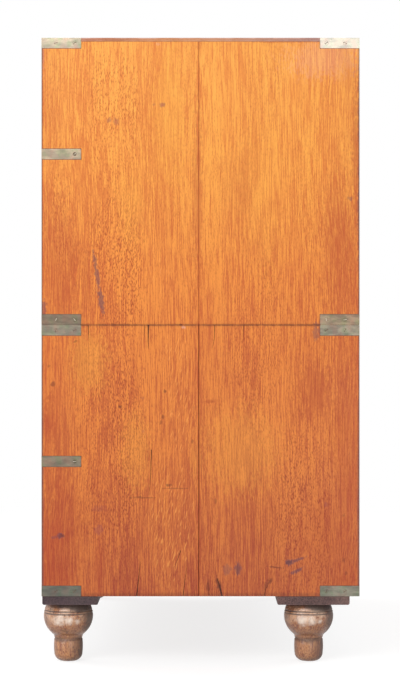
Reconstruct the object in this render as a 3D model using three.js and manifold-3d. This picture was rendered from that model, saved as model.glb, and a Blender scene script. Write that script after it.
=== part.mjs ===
// Campaign chest: two stacked sections of drawers, bound in brass, on bearers and turned feet.
// Millimetres. X runs across the width, -Y is the front and +Z is up.
// The origin is on the floor, under the middle of the chest.

import * as THREE from 'three';
import { mergeVertices } from 'three/addons/utils/BufferGeometryUtils.js';
import Module from 'manifold-3d';

const wasm = await Module();
wasm.setup();

// Overall sizes
const chestWidth = 930;
const chestDepth = 490;
const upperHeight = 442.6;
const lowerHeight = 418.4;
const bearerThickness = 13.3;
const footHeight = 91.3;

// Clearances shared by every joint
const fit = 0.3;
const overrun = 10;
const weld = 0.0001;

// Carcass boards
const boardThickness = 18;
const sideThickness = 18;
const topExtra = 1;
const topThickness = boardThickness + topExtra;
const topLap = 5.5;
const backThickness = 10;
const lapDepth = 9;
const housingDepth = 6;
const railDepth = 70;
const dustThickness = 10;
const upperRailHeight = 263.4;
const lowerRailHeight = 208.2;

// Lines where boards meet edge to edge
const sideJointShift = -2.6;
const upperSideJointWidth = 0.8;
const lowerSideJointWidth = 1.4;
const backJointWidth = 2;
const backBoardCount = 3;

// Pegs that keep the upper section in place on the lower one
const pegRadius = 7;
const pegHeight = 9;
const pegTaper = 2;
const pegInset = 62;
const pegClearance = 0.6;
const pegSides = 12;

// Brass straps let in flush round the corners
const strapEdge = 1;
const strapWidth = boardThickness - strapEdge * 2;
const strapLength = 60.7;
const strapThickness = 2;
const strapCornerRadius = 3.5;
const strapCornerSteps = 1;

// Bearers across the underside
const bearerEndInset = 1;
const frontBearerInset = 1;
const frontBearerDepth = 86.2;
const rearBearerInset = 15.1;
const rearBearerDepth = 111.7;
const bearerRounding = 2.5;
const bearerRoundingSteps = 1;

// Turned feet
const footSideInset = 44;
const footForward = 5.3;
const ballRadius = 38.4;
const ballHalfHeight = 37.1;
const ballTopCut = 20.3;
const shankRadius = 22;
const coveHeight = 5;
const coveWidth = 2.5;
const soleRadius = 9;
const soleRounding = 13;
const quirkWidth = 3;
const quirkDepth = 0.7;
const incisionDepth = 0.8;
const incisionWidth = 1.4;
const incisionHeightShares = [0.12, 0.23];
const spigotRadius = 11;
const spigotReachShare = 0.7;
const footSides = 20;
const ballSteps = 9;
const soleSteps = 3;

// Drawers
const drawerFrontThickness = 20;
const drawerSideThickness = 10;
const drawerBackThickness = 10;
const drawerBottomThickness = 8;
const drawerBottomRise = 5;
const drawerSideDrop = 4;
const drawerBackDrop = 12;
const drawerSetback = 0.8;
const drawerSideGap = 1;
const drawerTopGap = 1.2;
const drawerBackRoom = 18;

// Flush handles, each a brass plate with a cup and a bail hung on two pins
const plateWidth = 100;
const plateHeight = 58;
const plateThickness = 2;
const plateCornerRadius = 4;
const cupWidth = 80;
const cupHeight = 41;
const cupDepth = 13;
const cupWall = 1.6;
const cupCornerRadius = 4;
const handleCornerSteps = 1;
const bailRadius = 2.8;
const bailSideRoom = 1.4;
const bailPinRadius = 1.6;
const bailPinDepth = 5;
const bailPinDrop = 6.5;
const bailFootRoom = 5;
const bailBendRadius = 9;
const bendShare = 0.5523;
const bailTip = 2.4;
const bailSides = 8;
const bailPathSteps = 16;
const longDrawerHandleShare = 0.29;

// Places that follow from the sizes
const halfWidth = chestWidth / 2;
const halfDepth = chestDepth / 2;
const innerHalfWidth = halfWidth - sideThickness;
const backFace = halfDepth - backThickness;
const lowerBase = footHeight + bearerThickness;
const upperBase = lowerBase + lowerHeight;
const spigotLength = bearerThickness + boardThickness * spigotReachShare;
const ballCentreHeight = footHeight - ballTopCut;
const bailPinHeight = cupHeight / 2 - cupWall - bailPinDrop;
const axisX = new THREE.Vector3(1, 0, 0);
const axisY = new THREE.Vector3(0, 1, 0);
const axisZ = new THREE.Vector3(0, 0, 1);

// Bearers from front to back, and the feet that screw up into them
const bearerSpots = [
  { name: 'front', y: [frontBearerInset - halfDepth, frontBearerInset + frontBearerDepth - halfDepth] },
  { name: 'rear', y: [halfDepth - rearBearerInset - rearBearerDepth, halfDepth - rearBearerInset] },
];
const footSpots = bearerSpots.flatMap((bearer) => ['left', 'right'].map((side) => ({
  name: `foot_${bearer.name}_${side}`,
  x: (side === 'right' ? 1 : -1) * (halfWidth - footSideInset),
  y: (bearer.y[0] + bearer.y[1]) / 2 - footForward,
})));

// Finishes, from the wood and brass in the photograph
function finish(color, roughness, metalness) {
  return new THREE.MeshStandardMaterial({ color, roughness, metalness });
}

const sideWood = finish(0xd98545, 0.48, 0);
const topWood = finish(0xb9683a, 0.42, 0);
const backWood = finish(0xa9744a, 0.75, 0);
const innerWood = finish(0xb98a5c, 0.7, 0);
const frontWood = finish(0xcf7a40, 0.45, 0);
const bearerWood = finish(0x5b4848, 0.8, 0);
const footWood = finish(0xa67a60, 0.6, 0);
const brass = finish(0x9c8d70, 0.4, 1);

// Ordered pair of limits along one axis
function span(a, b) {
  return [Math.min(a, b), Math.max(a, b)];
}

function grown(limits, margin) {
  return [limits[0] - margin, limits[1] + margin];
}

// Closed solid from a geometry, with its shared corners joined
function solidOf(geometry) {
  geometry.deleteAttribute('normal');
  geometry.deleteAttribute('uv');
  const merged = mergeVertices(geometry, weld);
  const vertProperties = Float32Array.from(merged.attributes.position.array);
  const corners = Array.from(merged.index.array);
  const faces = [];
  for (let first = 0; first < corners.length; first += 3) {
    const [a, b, c] = corners.slice(first, first + 3);
    if (a !== b && b !== c && c !== a) {
      faces.push(a, b, c);
    }
  }
  const triVerts = Uint32Array.from(faces);
  return new wasm.Manifold(new wasm.Mesh({ numProp: 3, vertProperties, triVerts }));
}

function geometryOf(solid) {
  const { vertProperties, triVerts } = solid.getMesh();
  const geometry = new THREE.BufferGeometry();
  geometry.setAttribute('position', new THREE.BufferAttribute(vertProperties, 3));
  geometry.setIndex(new THREE.BufferAttribute(triVerts, 1));
  geometry.computeVertexNormals();
  return geometry;
}

function named(name, solid, material) {
  const mesh = new THREE.Mesh(geometryOf(solid), material);
  mesh.name = name;
  return mesh;
}

function joined(solids) {
  return solids.reduce((whole, solid) => whole.add(solid));
}

function cutBy(solid, tools) {
  return tools.reduce((rest, tool) => rest.subtract(tool), solid);
}

// Box between limits along each axis
function block(x, y, z) {
  const geometry = new THREE.BoxGeometry(x[1] - x[0], y[1] - y[0], z[1] - z[0]);
  geometry.translate((x[0] + x[1]) / 2, (y[0] + y[1]) / 2, (z[0] + z[1]) / 2);
  return solidOf(geometry);
}

// Upright round rod between two heights
function rod(radius, z, sides) {
  const geometry = new THREE.CylinderGeometry(radius, radius, z[1] - z[0], sides);
  geometry.rotateX(Math.PI / 2);
  geometry.translate(0, 0, (z[0] + z[1]) / 2);
  return geometry;
}

// Outline extruded along +Z, then stood up so that it is seen from the front
function standingPlate(shape, y, steps) {
  const geometry = new THREE.ExtrudeGeometry(shape, {
    depth: y[1] - y[0],
    bevelEnabled: false,
    curveSegments: steps,
  });
  geometry.rotateX(Math.PI / 2);
  geometry.translate(0, y[1], 0);
  return geometry;
}

function roundedRectangle(width, height, radius) {
  const shape = new THREE.Shape();
  const right = width / 2;
  const top = height / 2;
  shape.moveTo(radius - right, -top);
  shape.lineTo(right - radius, -top);
  shape.absarc(right - radius, radius - top, radius, -Math.PI / 2, 0);
  shape.lineTo(right, top - radius);
  shape.absarc(right - radius, top - radius, radius, 0, Math.PI / 2);
  shape.lineTo(radius - right, top);
  shape.absarc(radius - right, top - radius, radius, Math.PI / 2, Math.PI);
  shape.lineTo(-right, radius - top);
  shape.absarc(radius - right, radius - top, radius, Math.PI, 1.5 * Math.PI);
  return shape;
}

// The two sections, each measured from its own underside
const upper = {
  name: 'upper',
  height: upperHeight,
  railHeight: upperRailHeight,
  topThickness,
  topLap,
  jointWidth: upperSideJointWidth,
};
const lower = {
  name: 'lower',
  height: lowerHeight,
  railHeight: lowerRailHeight,
  topThickness: boardThickness,
  topLap: 0,
  jointWidth: lowerSideJointWidth,
};

const topUnderside = (section) => section.height - section.topThickness;
const railTop = (section) => section.railHeight + boardThickness / 2;
const railUnderside = (section) => section.railHeight - boardThickness / 2;
const sideTop = (section) => section.height - (section.topLap > 0 ? section.topLap + fit : 0);

// Boards, as blocks that can be grown by a clearance to cut their own housings
function topBoardBlocks(section, margin) {
  const between = innerHalfWidth + lapDepth + margin;
  const y = grown([-halfDepth, halfDepth], margin);
  const z = grown([topUnderside(section), section.height], margin);
  const blocks = [block([-between, between], y, z)];
  if (section.topLap > 0) {
    const over = halfWidth + margin;
    blocks.push(block([-over, over], y, grown([section.height - section.topLap, section.height], margin)));
  }
  return blocks;
}

function bottomBoardBlock(margin) {
  const between = innerHalfWidth + lapDepth + margin;
  const y = grown([-halfDepth, backFace - fit], margin);
  return block([-between, between], y, grown([fit, boardThickness], margin));
}

function backBlock(section, margin) {
  const between = innerHalfWidth + lapDepth + margin;
  const z = grown([fit, topUnderside(section) - fit], margin);
  return block([-between, between], grown([backFace, halfDepth], margin), z);
}

function dustBoardBlocks(section, margin) {
  const housed = innerHalfWidth + housingDepth + margin;
  const x = [-housed, housed];
  const rail = block(
    x,
    grown([-halfDepth, railDepth - halfDepth], margin),
    grown([railUnderside(section), railTop(section)], margin),
  );
  const panel = block(
    x,
    grown([-halfDepth, backFace - fit], margin),
    grown([railTop(section) - dustThickness, railTop(section)], margin),
  );
  return [rail, panel];
}

function partitionBlock(section, margin) {
  const x = grown([-boardThickness / 2, boardThickness / 2], margin);
  const y = grown([-halfDepth, backFace - fit], margin);
  const z = grown([railTop(section) - housingDepth, topUnderside(section) + housingDepth], margin);
  return block(x, y, z);
}

// Brass strap leg: it runs from the corner towards -X, let in from the face at y = 0.
// A cutting tool also reaches outside the corner.
function strapLeg(margin, outside) {
  const half = strapWidth / 2 + margin;
  const reach = strapLength + margin;
  const radius = strapCornerRadius + margin;
  const shape = new THREE.Shape();
  shape.moveTo(outside, -half);
  shape.lineTo(outside, half);
  shape.lineTo(radius - reach, half);
  shape.absarc(radius - reach, half - radius, radius, Math.PI / 2, Math.PI);
  shape.lineTo(-reach, radius - half);
  shape.absarc(radius - reach, radius - half, radius, Math.PI, 1.5 * Math.PI);
  return standingPlate(shape, [-outside, strapThickness + margin], strapCornerSteps);
}

// Both legs of the strap at the front right corner, before it is turned to its own corner
function strapLegs(margin, outside) {
  const second = strapLeg(margin, outside);
  const swap = new THREE.Matrix4().makeBasis(axisY, axisX, axisZ);
  second.applyMatrix4(swap.scale(new THREE.Vector3(-1, -1, -1)));
  return [strapLeg(margin, outside), second];
}

const cornerTurns = { front_right: 0, rear_right: 1, rear_left: 2, front_left: 3 };

function strapSpots(section) {
  const levels = {
    top: section.height - strapWidth / 2,
    middle: section.railHeight,
    bottom: fit + strapWidth / 2,
  };
  const spots = [];
  for (const [level, height] of Object.entries(levels)) {
    for (const [corner, turns] of Object.entries(cornerTurns)) {
      if (level !== 'middle' || corner.startsWith('front')) {
        const x = corner.endsWith('right') ? halfWidth : -halfWidth;
        const y = corner.startsWith('front') ? -halfDepth : halfDepth;
        spots.push({ name: `strap_${section.name}_${level}_${corner}`, x, y, height, turns });
      }
    }
  }
  return spots;
}

// Recesses for all the straps of a section
function strapRecesses(section) {
  return strapSpots(section).flatMap((spot) => strapLegs(fit, overrun).map((leg) => {
    leg.rotateZ(spot.turns * Math.PI / 2);
    leg.translate(spot.x, spot.y, spot.height);
    return solidOf(leg);
  }));
}

function strapMeshes(section) {
  return strapSpots(section).map((spot) => {
    const mesh = named(spot.name, joined(strapLegs(0, 0).map(solidOf)), brass);
    mesh.rotation.z = spot.turns * Math.PI / 2;
    mesh.position.set(spot.x, spot.y, spot.height);
    return mesh;
  });
}

// V-shaped line between two boards: it opens towards +X and runs along Z
function jointLine(width, length) {
  const shape = new THREE.Shape();
  shape.moveTo(overrun, -width / 2);
  shape.lineTo(overrun, width / 2);
  shape.lineTo(0, width / 2);
  shape.lineTo(-width, 0);
  shape.lineTo(0, -width / 2);
  const geometry = new THREE.ExtrudeGeometry(shape, { depth: length, bevelEnabled: false });
  geometry.translate(0, 0, -length / 2);
  return geometry;
}

// Side of a section: two boards glued edge to edge, grooved and rebated for what it holds
function sidePanel(section, side) {
  const sign = side === 'right' ? 1 : -1;
  const x = span(sign * innerHalfWidth, sign * halfWidth);
  const body = block(x, [-halfDepth, halfDepth], [fit, sideTop(section)]);
  const line = jointLine(section.jointWidth, section.height + overrun * 2);
  line.rotateZ(sign > 0 ? 0 : Math.PI);
  line.translate(sign * halfWidth, sideJointShift, section.height / 2);
  return cutBy(body, [
    ...topBoardBlocks(section, fit),
    bottomBoardBlock(fit),
    backBlock(section, fit),
    ...dustBoardBlocks(section, fit),
    ...strapRecesses(section),
    solidOf(line),
  ]);
}

// Lathe turned round +Z from points [radius, height]
function turned(points, sides) {
  const profile = points.map(([radius, height]) => new THREE.Vector2(radius, height));
  const geometry = new THREE.LatheGeometry(profile, sides);
  geometry.rotateX(Math.PI / 2);
  return geometry;
}

function atCorners(inset, make) {
  const corners = [];
  for (const x of [inset - halfWidth, halfWidth - inset]) {
    for (const y of [inset - halfDepth, halfDepth - inset]) {
      corners.push(make(x, y));
    }
  }
  return corners;
}

// Pegs stand on the lower top board, with a tapered end
function pegs() {
  const points = [
    [0, -boardThickness / 2],
    [pegRadius, -boardThickness / 2],
    [pegRadius, pegHeight - pegTaper],
    [pegRadius - pegTaper, pegHeight],
    [0, pegHeight],
  ];
  return atCorners(pegInset, (x, y) => solidOf(turned(points, pegSides).translate(x, y, lowerHeight)));
}

function pegHoles() {
  const radius = pegRadius + pegClearance;
  const z = [-overrun, pegHeight + pegClearance];
  return atCorners(pegInset, (x, y) => solidOf(rod(radius, z, pegSides).translate(x, y, 0)));
}

function spigotHoles(z) {
  const radius = spigotRadius + fit;
  return footSpots.map((spot) => solidOf(rod(radius, z, footSides).translate(spot.x, spot.y, 0)));
}

function topBoard(section) {
  const board = joined(topBoardBlocks(section, 0));
  const cut = cutBy(board, strapRecesses(section));
  return section === upper ? cut.subtract(partitionBlock(section, fit)) : joined([cut, ...pegs()]);
}

function bottomBoard(section) {
  const spigotTop = footHeight + spigotLength - lowerBase;
  const holes = section === upper ? pegHoles() : spigotHoles([-overrun, spigotTop + fit]);
  return cutBy(bottomBoardBlock(0), [...strapRecesses(section), ...holes]);
}

// Back of a section: boards laid across, edge to edge
function backPanel(section) {
  const top = topUnderside(section) - fit;
  const lines = [];
  for (let index = 1; index < backBoardCount; index += 1) {
    const line = jointLine(backJointWidth, chestWidth);
    line.applyMatrix4(new THREE.Matrix4().makeBasis(axisY, axisZ, axisX));
    line.translate(0, halfDepth, fit + (top - fit) * index / backBoardCount);
    lines.push(solidOf(line));
  }
  return cutBy(backBlock(section, 0), [...strapRecesses(section), ...lines]);
}

// Front rail with a thinner dust board behind it, level on top
function dustBoard(section) {
  const board = joined(dustBoardBlocks(section, 0));
  const cut = cutBy(board, strapRecesses(section));
  return section === upper ? cut.subtract(partitionBlock(section, fit)) : cut;
}

// Drawers, each placed by its bay in its own section
function drawerBay(section, name, x, z, handles) {
  return { section, name, x, z: [z[0] + fit, z[1] - drawerTopGap], handles };
}

function drawerBays(section) {
  const outer = innerHalfWidth - drawerSideGap;
  const inner = boardThickness / 2 + drawerSideGap;
  const above = [railTop(section), topUnderside(section)];
  const below = [boardThickness, railUnderside(section)];
  const pair = [-longDrawerHandleShare, longDrawerHandleShare];
  if (section === upper) {
    return [
      drawerBay(section, 'top_left', [-outer, -inner], above, [0]),
      drawerBay(section, 'top_right', [inner, outer], above, [0]),
      drawerBay(section, 'second', [-outer, outer], below, pair),
    ];
  }
  return [
    drawerBay(section, 'third', [-outer, outer], above, pair),
    drawerBay(section, 'bottom', [-outer, outer], below, pair),
  ];
}

// Drawer box with its front, measured from the middle of the front's lower edge
function drawerSolid(width, height, handles) {
  const half = width / 2;
  const length = backFace + halfDepth - drawerSetback - drawerBackRoom;
  const front = block([-half, half], [0, drawerFrontThickness], [0, height]);
  const sides = [-1, 1].map((sign) => block(
    span(sign * half, sign * (half - drawerSideThickness)),
    [drawerFrontThickness / 2, length],
    [0, height - drawerSideDrop],
  ));
  const inside = half - drawerSideThickness / 2;
  const back = block(
    [-inside, inside],
    [length - drawerBackThickness, length],
    [drawerBottomRise, height - drawerBackDrop],
  );
  const bottom = block(
    [-inside, inside],
    [drawerFrontThickness / 2, length],
    [drawerBottomRise, drawerBottomRise + drawerBottomThickness],
  );
  const pockets = handles.flatMap((x) => handlePocket().map((pocket) => pocket.translate(x, 0, height / 2)));
  return cutBy(joined([front, ...sides, back, bottom]), pockets.map(solidOf));
}

// Pocket in a drawer front that takes the plate and its cup
function handlePocket() {
  const flange = roundedRectangle(plateWidth + fit * 2, plateHeight + fit * 2, plateCornerRadius + fit);
  const cup = roundedRectangle(cupWidth + fit * 2, cupHeight + fit * 2, cupCornerRadius + fit);
  return [
    standingPlate(flange, [-overrun, plateThickness + fit], handleCornerSteps),
    standingPlate(cup, [-overrun, cupDepth + fit], handleCornerSteps),
  ];
}

function pinLine(radius, x, sides) {
  const geometry = new THREE.CylinderGeometry(radius, radius, x[1] - x[0], sides);
  geometry.rotateZ(Math.PI / 2);
  geometry.translate((x[0] + x[1]) / 2, bailPinDepth, bailPinHeight);
  return solidOf(geometry);
}

// Plate with a cup behind it, and holes in the cup's ends for the bail's pins
function handlePlate() {
  const flange = roundedRectangle(plateWidth, plateHeight, plateCornerRadius);
  const cup = roundedRectangle(cupWidth, cupHeight, cupCornerRadius);
  const inside = [cupWidth, cupHeight].map((size) => size - cupWall * 2);
  const hollow = roundedRectangle(...inside, cupCornerRadius - cupWall);
  const body = joined([
    solidOf(standingPlate(flange, [0, plateThickness], handleCornerSteps)),
    solidOf(standingPlate(cup, [0, cupDepth], handleCornerSteps)),
  ]);
  return cutBy(body, [
    solidOf(standingPlate(hollow, [-overrun, cupDepth - cupWall], handleCornerSteps)),
    pinLine(bailPinRadius + fit, [-cupWidth / 2 - fit, cupWidth / 2 + fit], bailSides),
  ]);
}

// Bail: a rod bent down, across and up again, with a pin at each end
function bailSolid() {
  const armX = cupWidth / 2 - cupWall - bailSideRoom - bailRadius;
  const gripZ = cupWall + bailFootRoom + bailRadius - cupHeight / 2;
  const tipZ = bailPinHeight + bailTip;
  const bend = bailBendRadius;
  const path = new THREE.CurvePath();
  const at = (x, z) => new THREE.Vector3(x, bailPinDepth, z);
  const hold = bend * (1 - bendShare);
  path.add(new THREE.LineCurve3(at(-armX, tipZ), at(-armX, gripZ + bend)));
  path.add(new THREE.CubicBezierCurve3(
    at(-armX, gripZ + bend),
    at(-armX, gripZ + hold),
    at(hold - armX, gripZ),
    at(bend - armX, gripZ),
  ));
  path.add(new THREE.LineCurve3(at(bend - armX, gripZ), at(armX - bend, gripZ)));
  path.add(new THREE.CubicBezierCurve3(
    at(armX - bend, gripZ),
    at(armX - hold, gripZ),
    at(armX, gripZ + hold),
    at(armX, gripZ + bend),
  ));
  path.add(new THREE.LineCurve3(at(armX, gripZ + bend), at(armX, tipZ)));
  const section = new THREE.Shape();
  section.absarc(0, 0, bailRadius, 0, 2 * Math.PI);
  const rodGeometry = new THREE.ExtrudeGeometry(section, {
    steps: bailPathSteps,
    extrudePath: path,
    curveSegments: bailSides / 2,
    bevelEnabled: false,
  });
  const pins = [-1, 1].map((sign) => {
    const x = span(sign * armX, sign * cupWidth / 2);
    return pinLine(bailPinRadius, x, bailSides);
  });
  return joined([solidOf(rodGeometry), ...pins]);
}

function drawerGroup(bay) {
  const width = bay.x[1] - bay.x[0];
  const height = bay.z[1] - bay.z[0];
  const places = bay.handles.map((share) => share * width);
  const drawer = new THREE.Group();
  drawer.position.set((bay.x[0] + bay.x[1]) / 2, drawerSetback - halfDepth, bay.z[0]);
  drawer.add(named(`drawer_${bay.name}`, drawerSolid(width, height, places), frontWood));
  for (const place of places) {
    const side = places.length === 1 ? '' : place < 0 ? '_left' : '_right';
    const handle = new THREE.Group();
    handle.position.set(place, 0, height / 2);
    handle.add(named(`handle_plate_${bay.name}${side}`, handlePlate(), brass));
    handle.add(named(`handle_bail_${bay.name}${side}`, bailSolid(), brass));
    drawer.add(handle);
  }
  return drawer;
}

// Bearers run the width of the chest, rounded along their lower edges
function bearerSolid(y) {
  const shape = new THREE.Shape();
  const z = [footHeight + fit, footHeight + bearerThickness];
  const turn = bearerRounding;
  shape.moveTo(y[0] + turn, z[0]);
  shape.lineTo(y[1] - turn, z[0]);
  shape.absarc(y[1] - turn, z[0] + turn, turn, -Math.PI / 2, 0);
  shape.lineTo(y[1], z[1]);
  shape.lineTo(y[0], z[1]);
  shape.absarc(y[0] + turn, z[0] + turn, turn, Math.PI, 1.5 * Math.PI);
  const length = chestWidth - bearerEndInset * 2;
  const geometry = new THREE.ExtrudeGeometry(shape, {
    depth: length,
    bevelEnabled: false,
    curveSegments: bearerRoundingSteps,
  });
  geometry.translate(0, 0, -length / 2);
  geometry.applyMatrix4(new THREE.Matrix4().makeBasis(axisY, axisZ, axisX));
  return cutBy(solidOf(geometry), spigotHoles([footHeight - overrun, lowerBase + overrun]));
}

// Turned foot: worn sole, straight shank, quirk, ball with two incised rings, and a spigot
function ballRadiusAt(height) {
  return ballRadius * Math.sqrt(1 - ((height - ballCentreHeight) / ballHalfHeight) ** 2);
}

function ballPoints() {
  const rings = incisionHeightShares.map((share) => ballCentreHeight + ballHalfHeight * share);
  const startAngle = -Math.acos((shankRadius + coveWidth) / ballRadius);
  const endAngle = Math.asin((footHeight - ballCentreHeight) / ballHalfHeight);
  const points = [];
  for (let step = 0; step <= ballSteps; step += 1) {
    const angle = startAngle + (endAngle - startAngle) * step / ballSteps;
    const height = ballCentreHeight + ballHalfHeight * Math.sin(angle);
    if (rings.every((ring) => Math.abs(height - ring) > incisionWidth)) {
      points.push([ballRadius * Math.cos(angle), height]);
    }
  }
  for (const ring of rings) {
    const edges = [ring - incisionWidth / 2, ring + incisionWidth / 2];
    points.push([ballRadiusAt(ring) - incisionDepth, ring]);
    points.push(...edges.map((height) => [ballRadiusAt(height), height]));
  }
  return points.sort((a, b) => a[1] - b[1]);
}

function footSolid() {
  const points = [[0, 0]];
  for (let step = 0; step <= soleSteps; step += 1) {
    const angle = step / soleSteps * Math.PI / 2;
    const flare = (shankRadius - soleRadius) * Math.sin(angle);
    points.push([soleRadius + flare, soleRounding * (1 - Math.cos(angle))]);
  }
  const ball = ballPoints();
  const quirkTop = ball[0][1] - coveHeight;
  points.push([shankRadius, quirkTop - quirkWidth]);
  points.push([shankRadius - quirkDepth, quirkTop - quirkWidth / 2]);
  points.push([shankRadius, quirkTop]);
  points.push(...ball);
  points.push([spigotRadius, footHeight]);
  points.push([spigotRadius, footHeight + spigotLength]);
  points.push([0, footHeight + spigotLength]);
  return solidOf(turned(points, footSides));
}

function footMesh(spot) {
  const mesh = named(spot.name, footSolid(), footWood);
  mesh.position.set(spot.x, spot.y, 0);
  return mesh;
}

function sectionGroup(section, base) {
  const whole = new THREE.Group();
  whole.position.z = base;
  whole.add(
    named(`${section.name}_side_left`, sidePanel(section, 'left'), sideWood),
    named(`${section.name}_side_right`, sidePanel(section, 'right'), sideWood),
    named(`${section.name}_top_board`, topBoard(section), topWood),
    named(`${section.name}_bottom_board`, bottomBoard(section), innerWood),
    named(`${section.name}_back`, backPanel(section), backWood),
    named(`${section.name}_dust_board`, dustBoard(section), innerWood),
    ...strapMeshes(section),
    ...drawerBays(section).map(drawerGroup),
  );
  return whole;
}

const lowerSection = sectionGroup(lower, lowerBase);
const upperSection = sectionGroup(upper, upperBase);
upperSection.add(named('upper_partition', partitionBlock(upper, 0), innerWood));

const chest = new THREE.Group();
chest.add(lowerSection, upperSection);
for (const bearer of bearerSpots) {
  chest.add(named(`${bearer.name}_bearer`, bearerSolid(bearer.y), bearerWood));
}
chest.add(...footSpots.map(footMesh));

export default chest;
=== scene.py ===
"""Campaign chest in two sections: its finishes, small fittings, and the studio that it stands in.

The chest's own frame is loaded first. Every length is in metres in that frame, with the front at -Y,
and the photographed side at +X. Marks and cracks are placed in millimetres across and up the side.
"""

import logging
import math
import random
from collections.abc import Iterable, Sequence
from dataclasses import dataclass, field
from enum import Enum
from functools import reduce
from typing import ClassVar

import bmesh
import bpy
from mathutils import Matrix, Vector


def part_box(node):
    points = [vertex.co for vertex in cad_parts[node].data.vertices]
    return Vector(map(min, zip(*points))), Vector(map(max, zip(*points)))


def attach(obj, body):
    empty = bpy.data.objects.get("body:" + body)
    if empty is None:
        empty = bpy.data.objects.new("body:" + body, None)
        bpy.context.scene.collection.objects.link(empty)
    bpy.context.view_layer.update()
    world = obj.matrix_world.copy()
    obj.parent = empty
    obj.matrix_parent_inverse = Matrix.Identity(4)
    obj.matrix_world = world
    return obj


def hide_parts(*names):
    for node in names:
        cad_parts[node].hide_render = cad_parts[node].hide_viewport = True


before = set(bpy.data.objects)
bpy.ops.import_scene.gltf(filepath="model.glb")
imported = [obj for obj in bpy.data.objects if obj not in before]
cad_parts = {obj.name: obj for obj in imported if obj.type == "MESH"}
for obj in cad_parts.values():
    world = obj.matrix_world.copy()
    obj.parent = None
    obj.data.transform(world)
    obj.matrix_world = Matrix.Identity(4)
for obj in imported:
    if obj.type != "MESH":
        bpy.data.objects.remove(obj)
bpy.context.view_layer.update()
LOG = logging.getLogger("campaign_chest")

MM = 0.001

# The chest's reach from its middle, its top, the split between its sections, and the carcass's underside.
HALF_WIDTH, HALF_DEPTH, TOP = (round(reach, 4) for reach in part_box("upper_top_board")[1])
SPLIT = round(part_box("lower_side_right")[1].z, 4)
BASE = round(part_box("front_bearer")[1].z, 4)

# The turning of a foot, as its mesh and its finish both use it.
FOOT_TOP = 0.0913
BALL_RADIUS = 0.0384
SHANK_RADIUS = 0.022

# Faces that meet at less than the first angle are joined, and corners over the second are softened.
FLAT = math.radians(1.0)
SHARP = math.radians(32.0)

WHITE = (1.0, 1.0, 1.0, 1.0)

Piece = bpy.types.Object
Node = bpy.types.Node
Socket = bpy.types.NodeSocket
Colour = tuple[float, float, float, float]
Value = float | tuple | Socket
Band = tuple[float, float]
Triple = tuple[float, float, float]
Stops = tuple[tuple[float, Colour], ...]
Outline = list[tuple[float, float]]
Ring = list[bmesh.types.BMVert]


def paint(red: float, green: float, blue: float) -> Colour:
    """Turns a colour in 8-bit screen values into the linear values that shaders take.

    Args:
        red: red from 0 to 255.
        green: green from 0 to 255.
        blue: blue from 0 to 255.

    Returns:
        The linear colour with full alpha.
    """
    shares = [channel / 255 for channel in (red, green, blue)]
    linear = [s / 12.92 if s <= 0.04045 else ((s + 0.055) / 1.055) ** 2.4 for s in shares]
    return (*linear, 1.0)


class Grain(Enum):
    """The way that the fibres of a board run."""

    ACROSS = (2, 1, 0)
    FORWARD = (0, 2, 1)
    UPRIGHT = (0, 1, 2)


class Stain(Enum):
    """What a mark on the side is, with its colour and how far it covers the wood."""

    RED = (paint(170, 66, 34), 0.5)
    GOLD = (paint(250, 176, 70), 0.5)
    BRUISE = (paint(142, 68, 72), 0.6)
    SCUFF = (paint(98, 64, 76), 0.78)
    SOOT = (paint(84, 30, 24), 0.85)
    RUBBED = (paint(240, 178, 150), 0.6)


class SocketKind(Enum):
    """The kinds of socket that an effect takes and gives."""

    VALUE = "NodeSocketFloat"
    COLOUR = "NodeSocketColor"
    VECTOR = "NodeSocketVector"


@dataclass(frozen=True)
class Cloud:
    """A noise: how many clouds lie in a metre along X, Y and Z, its finer layers, and their strength."""

    stretch: Triple
    detail: float = 2.0
    roughness: float = 0.5


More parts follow.
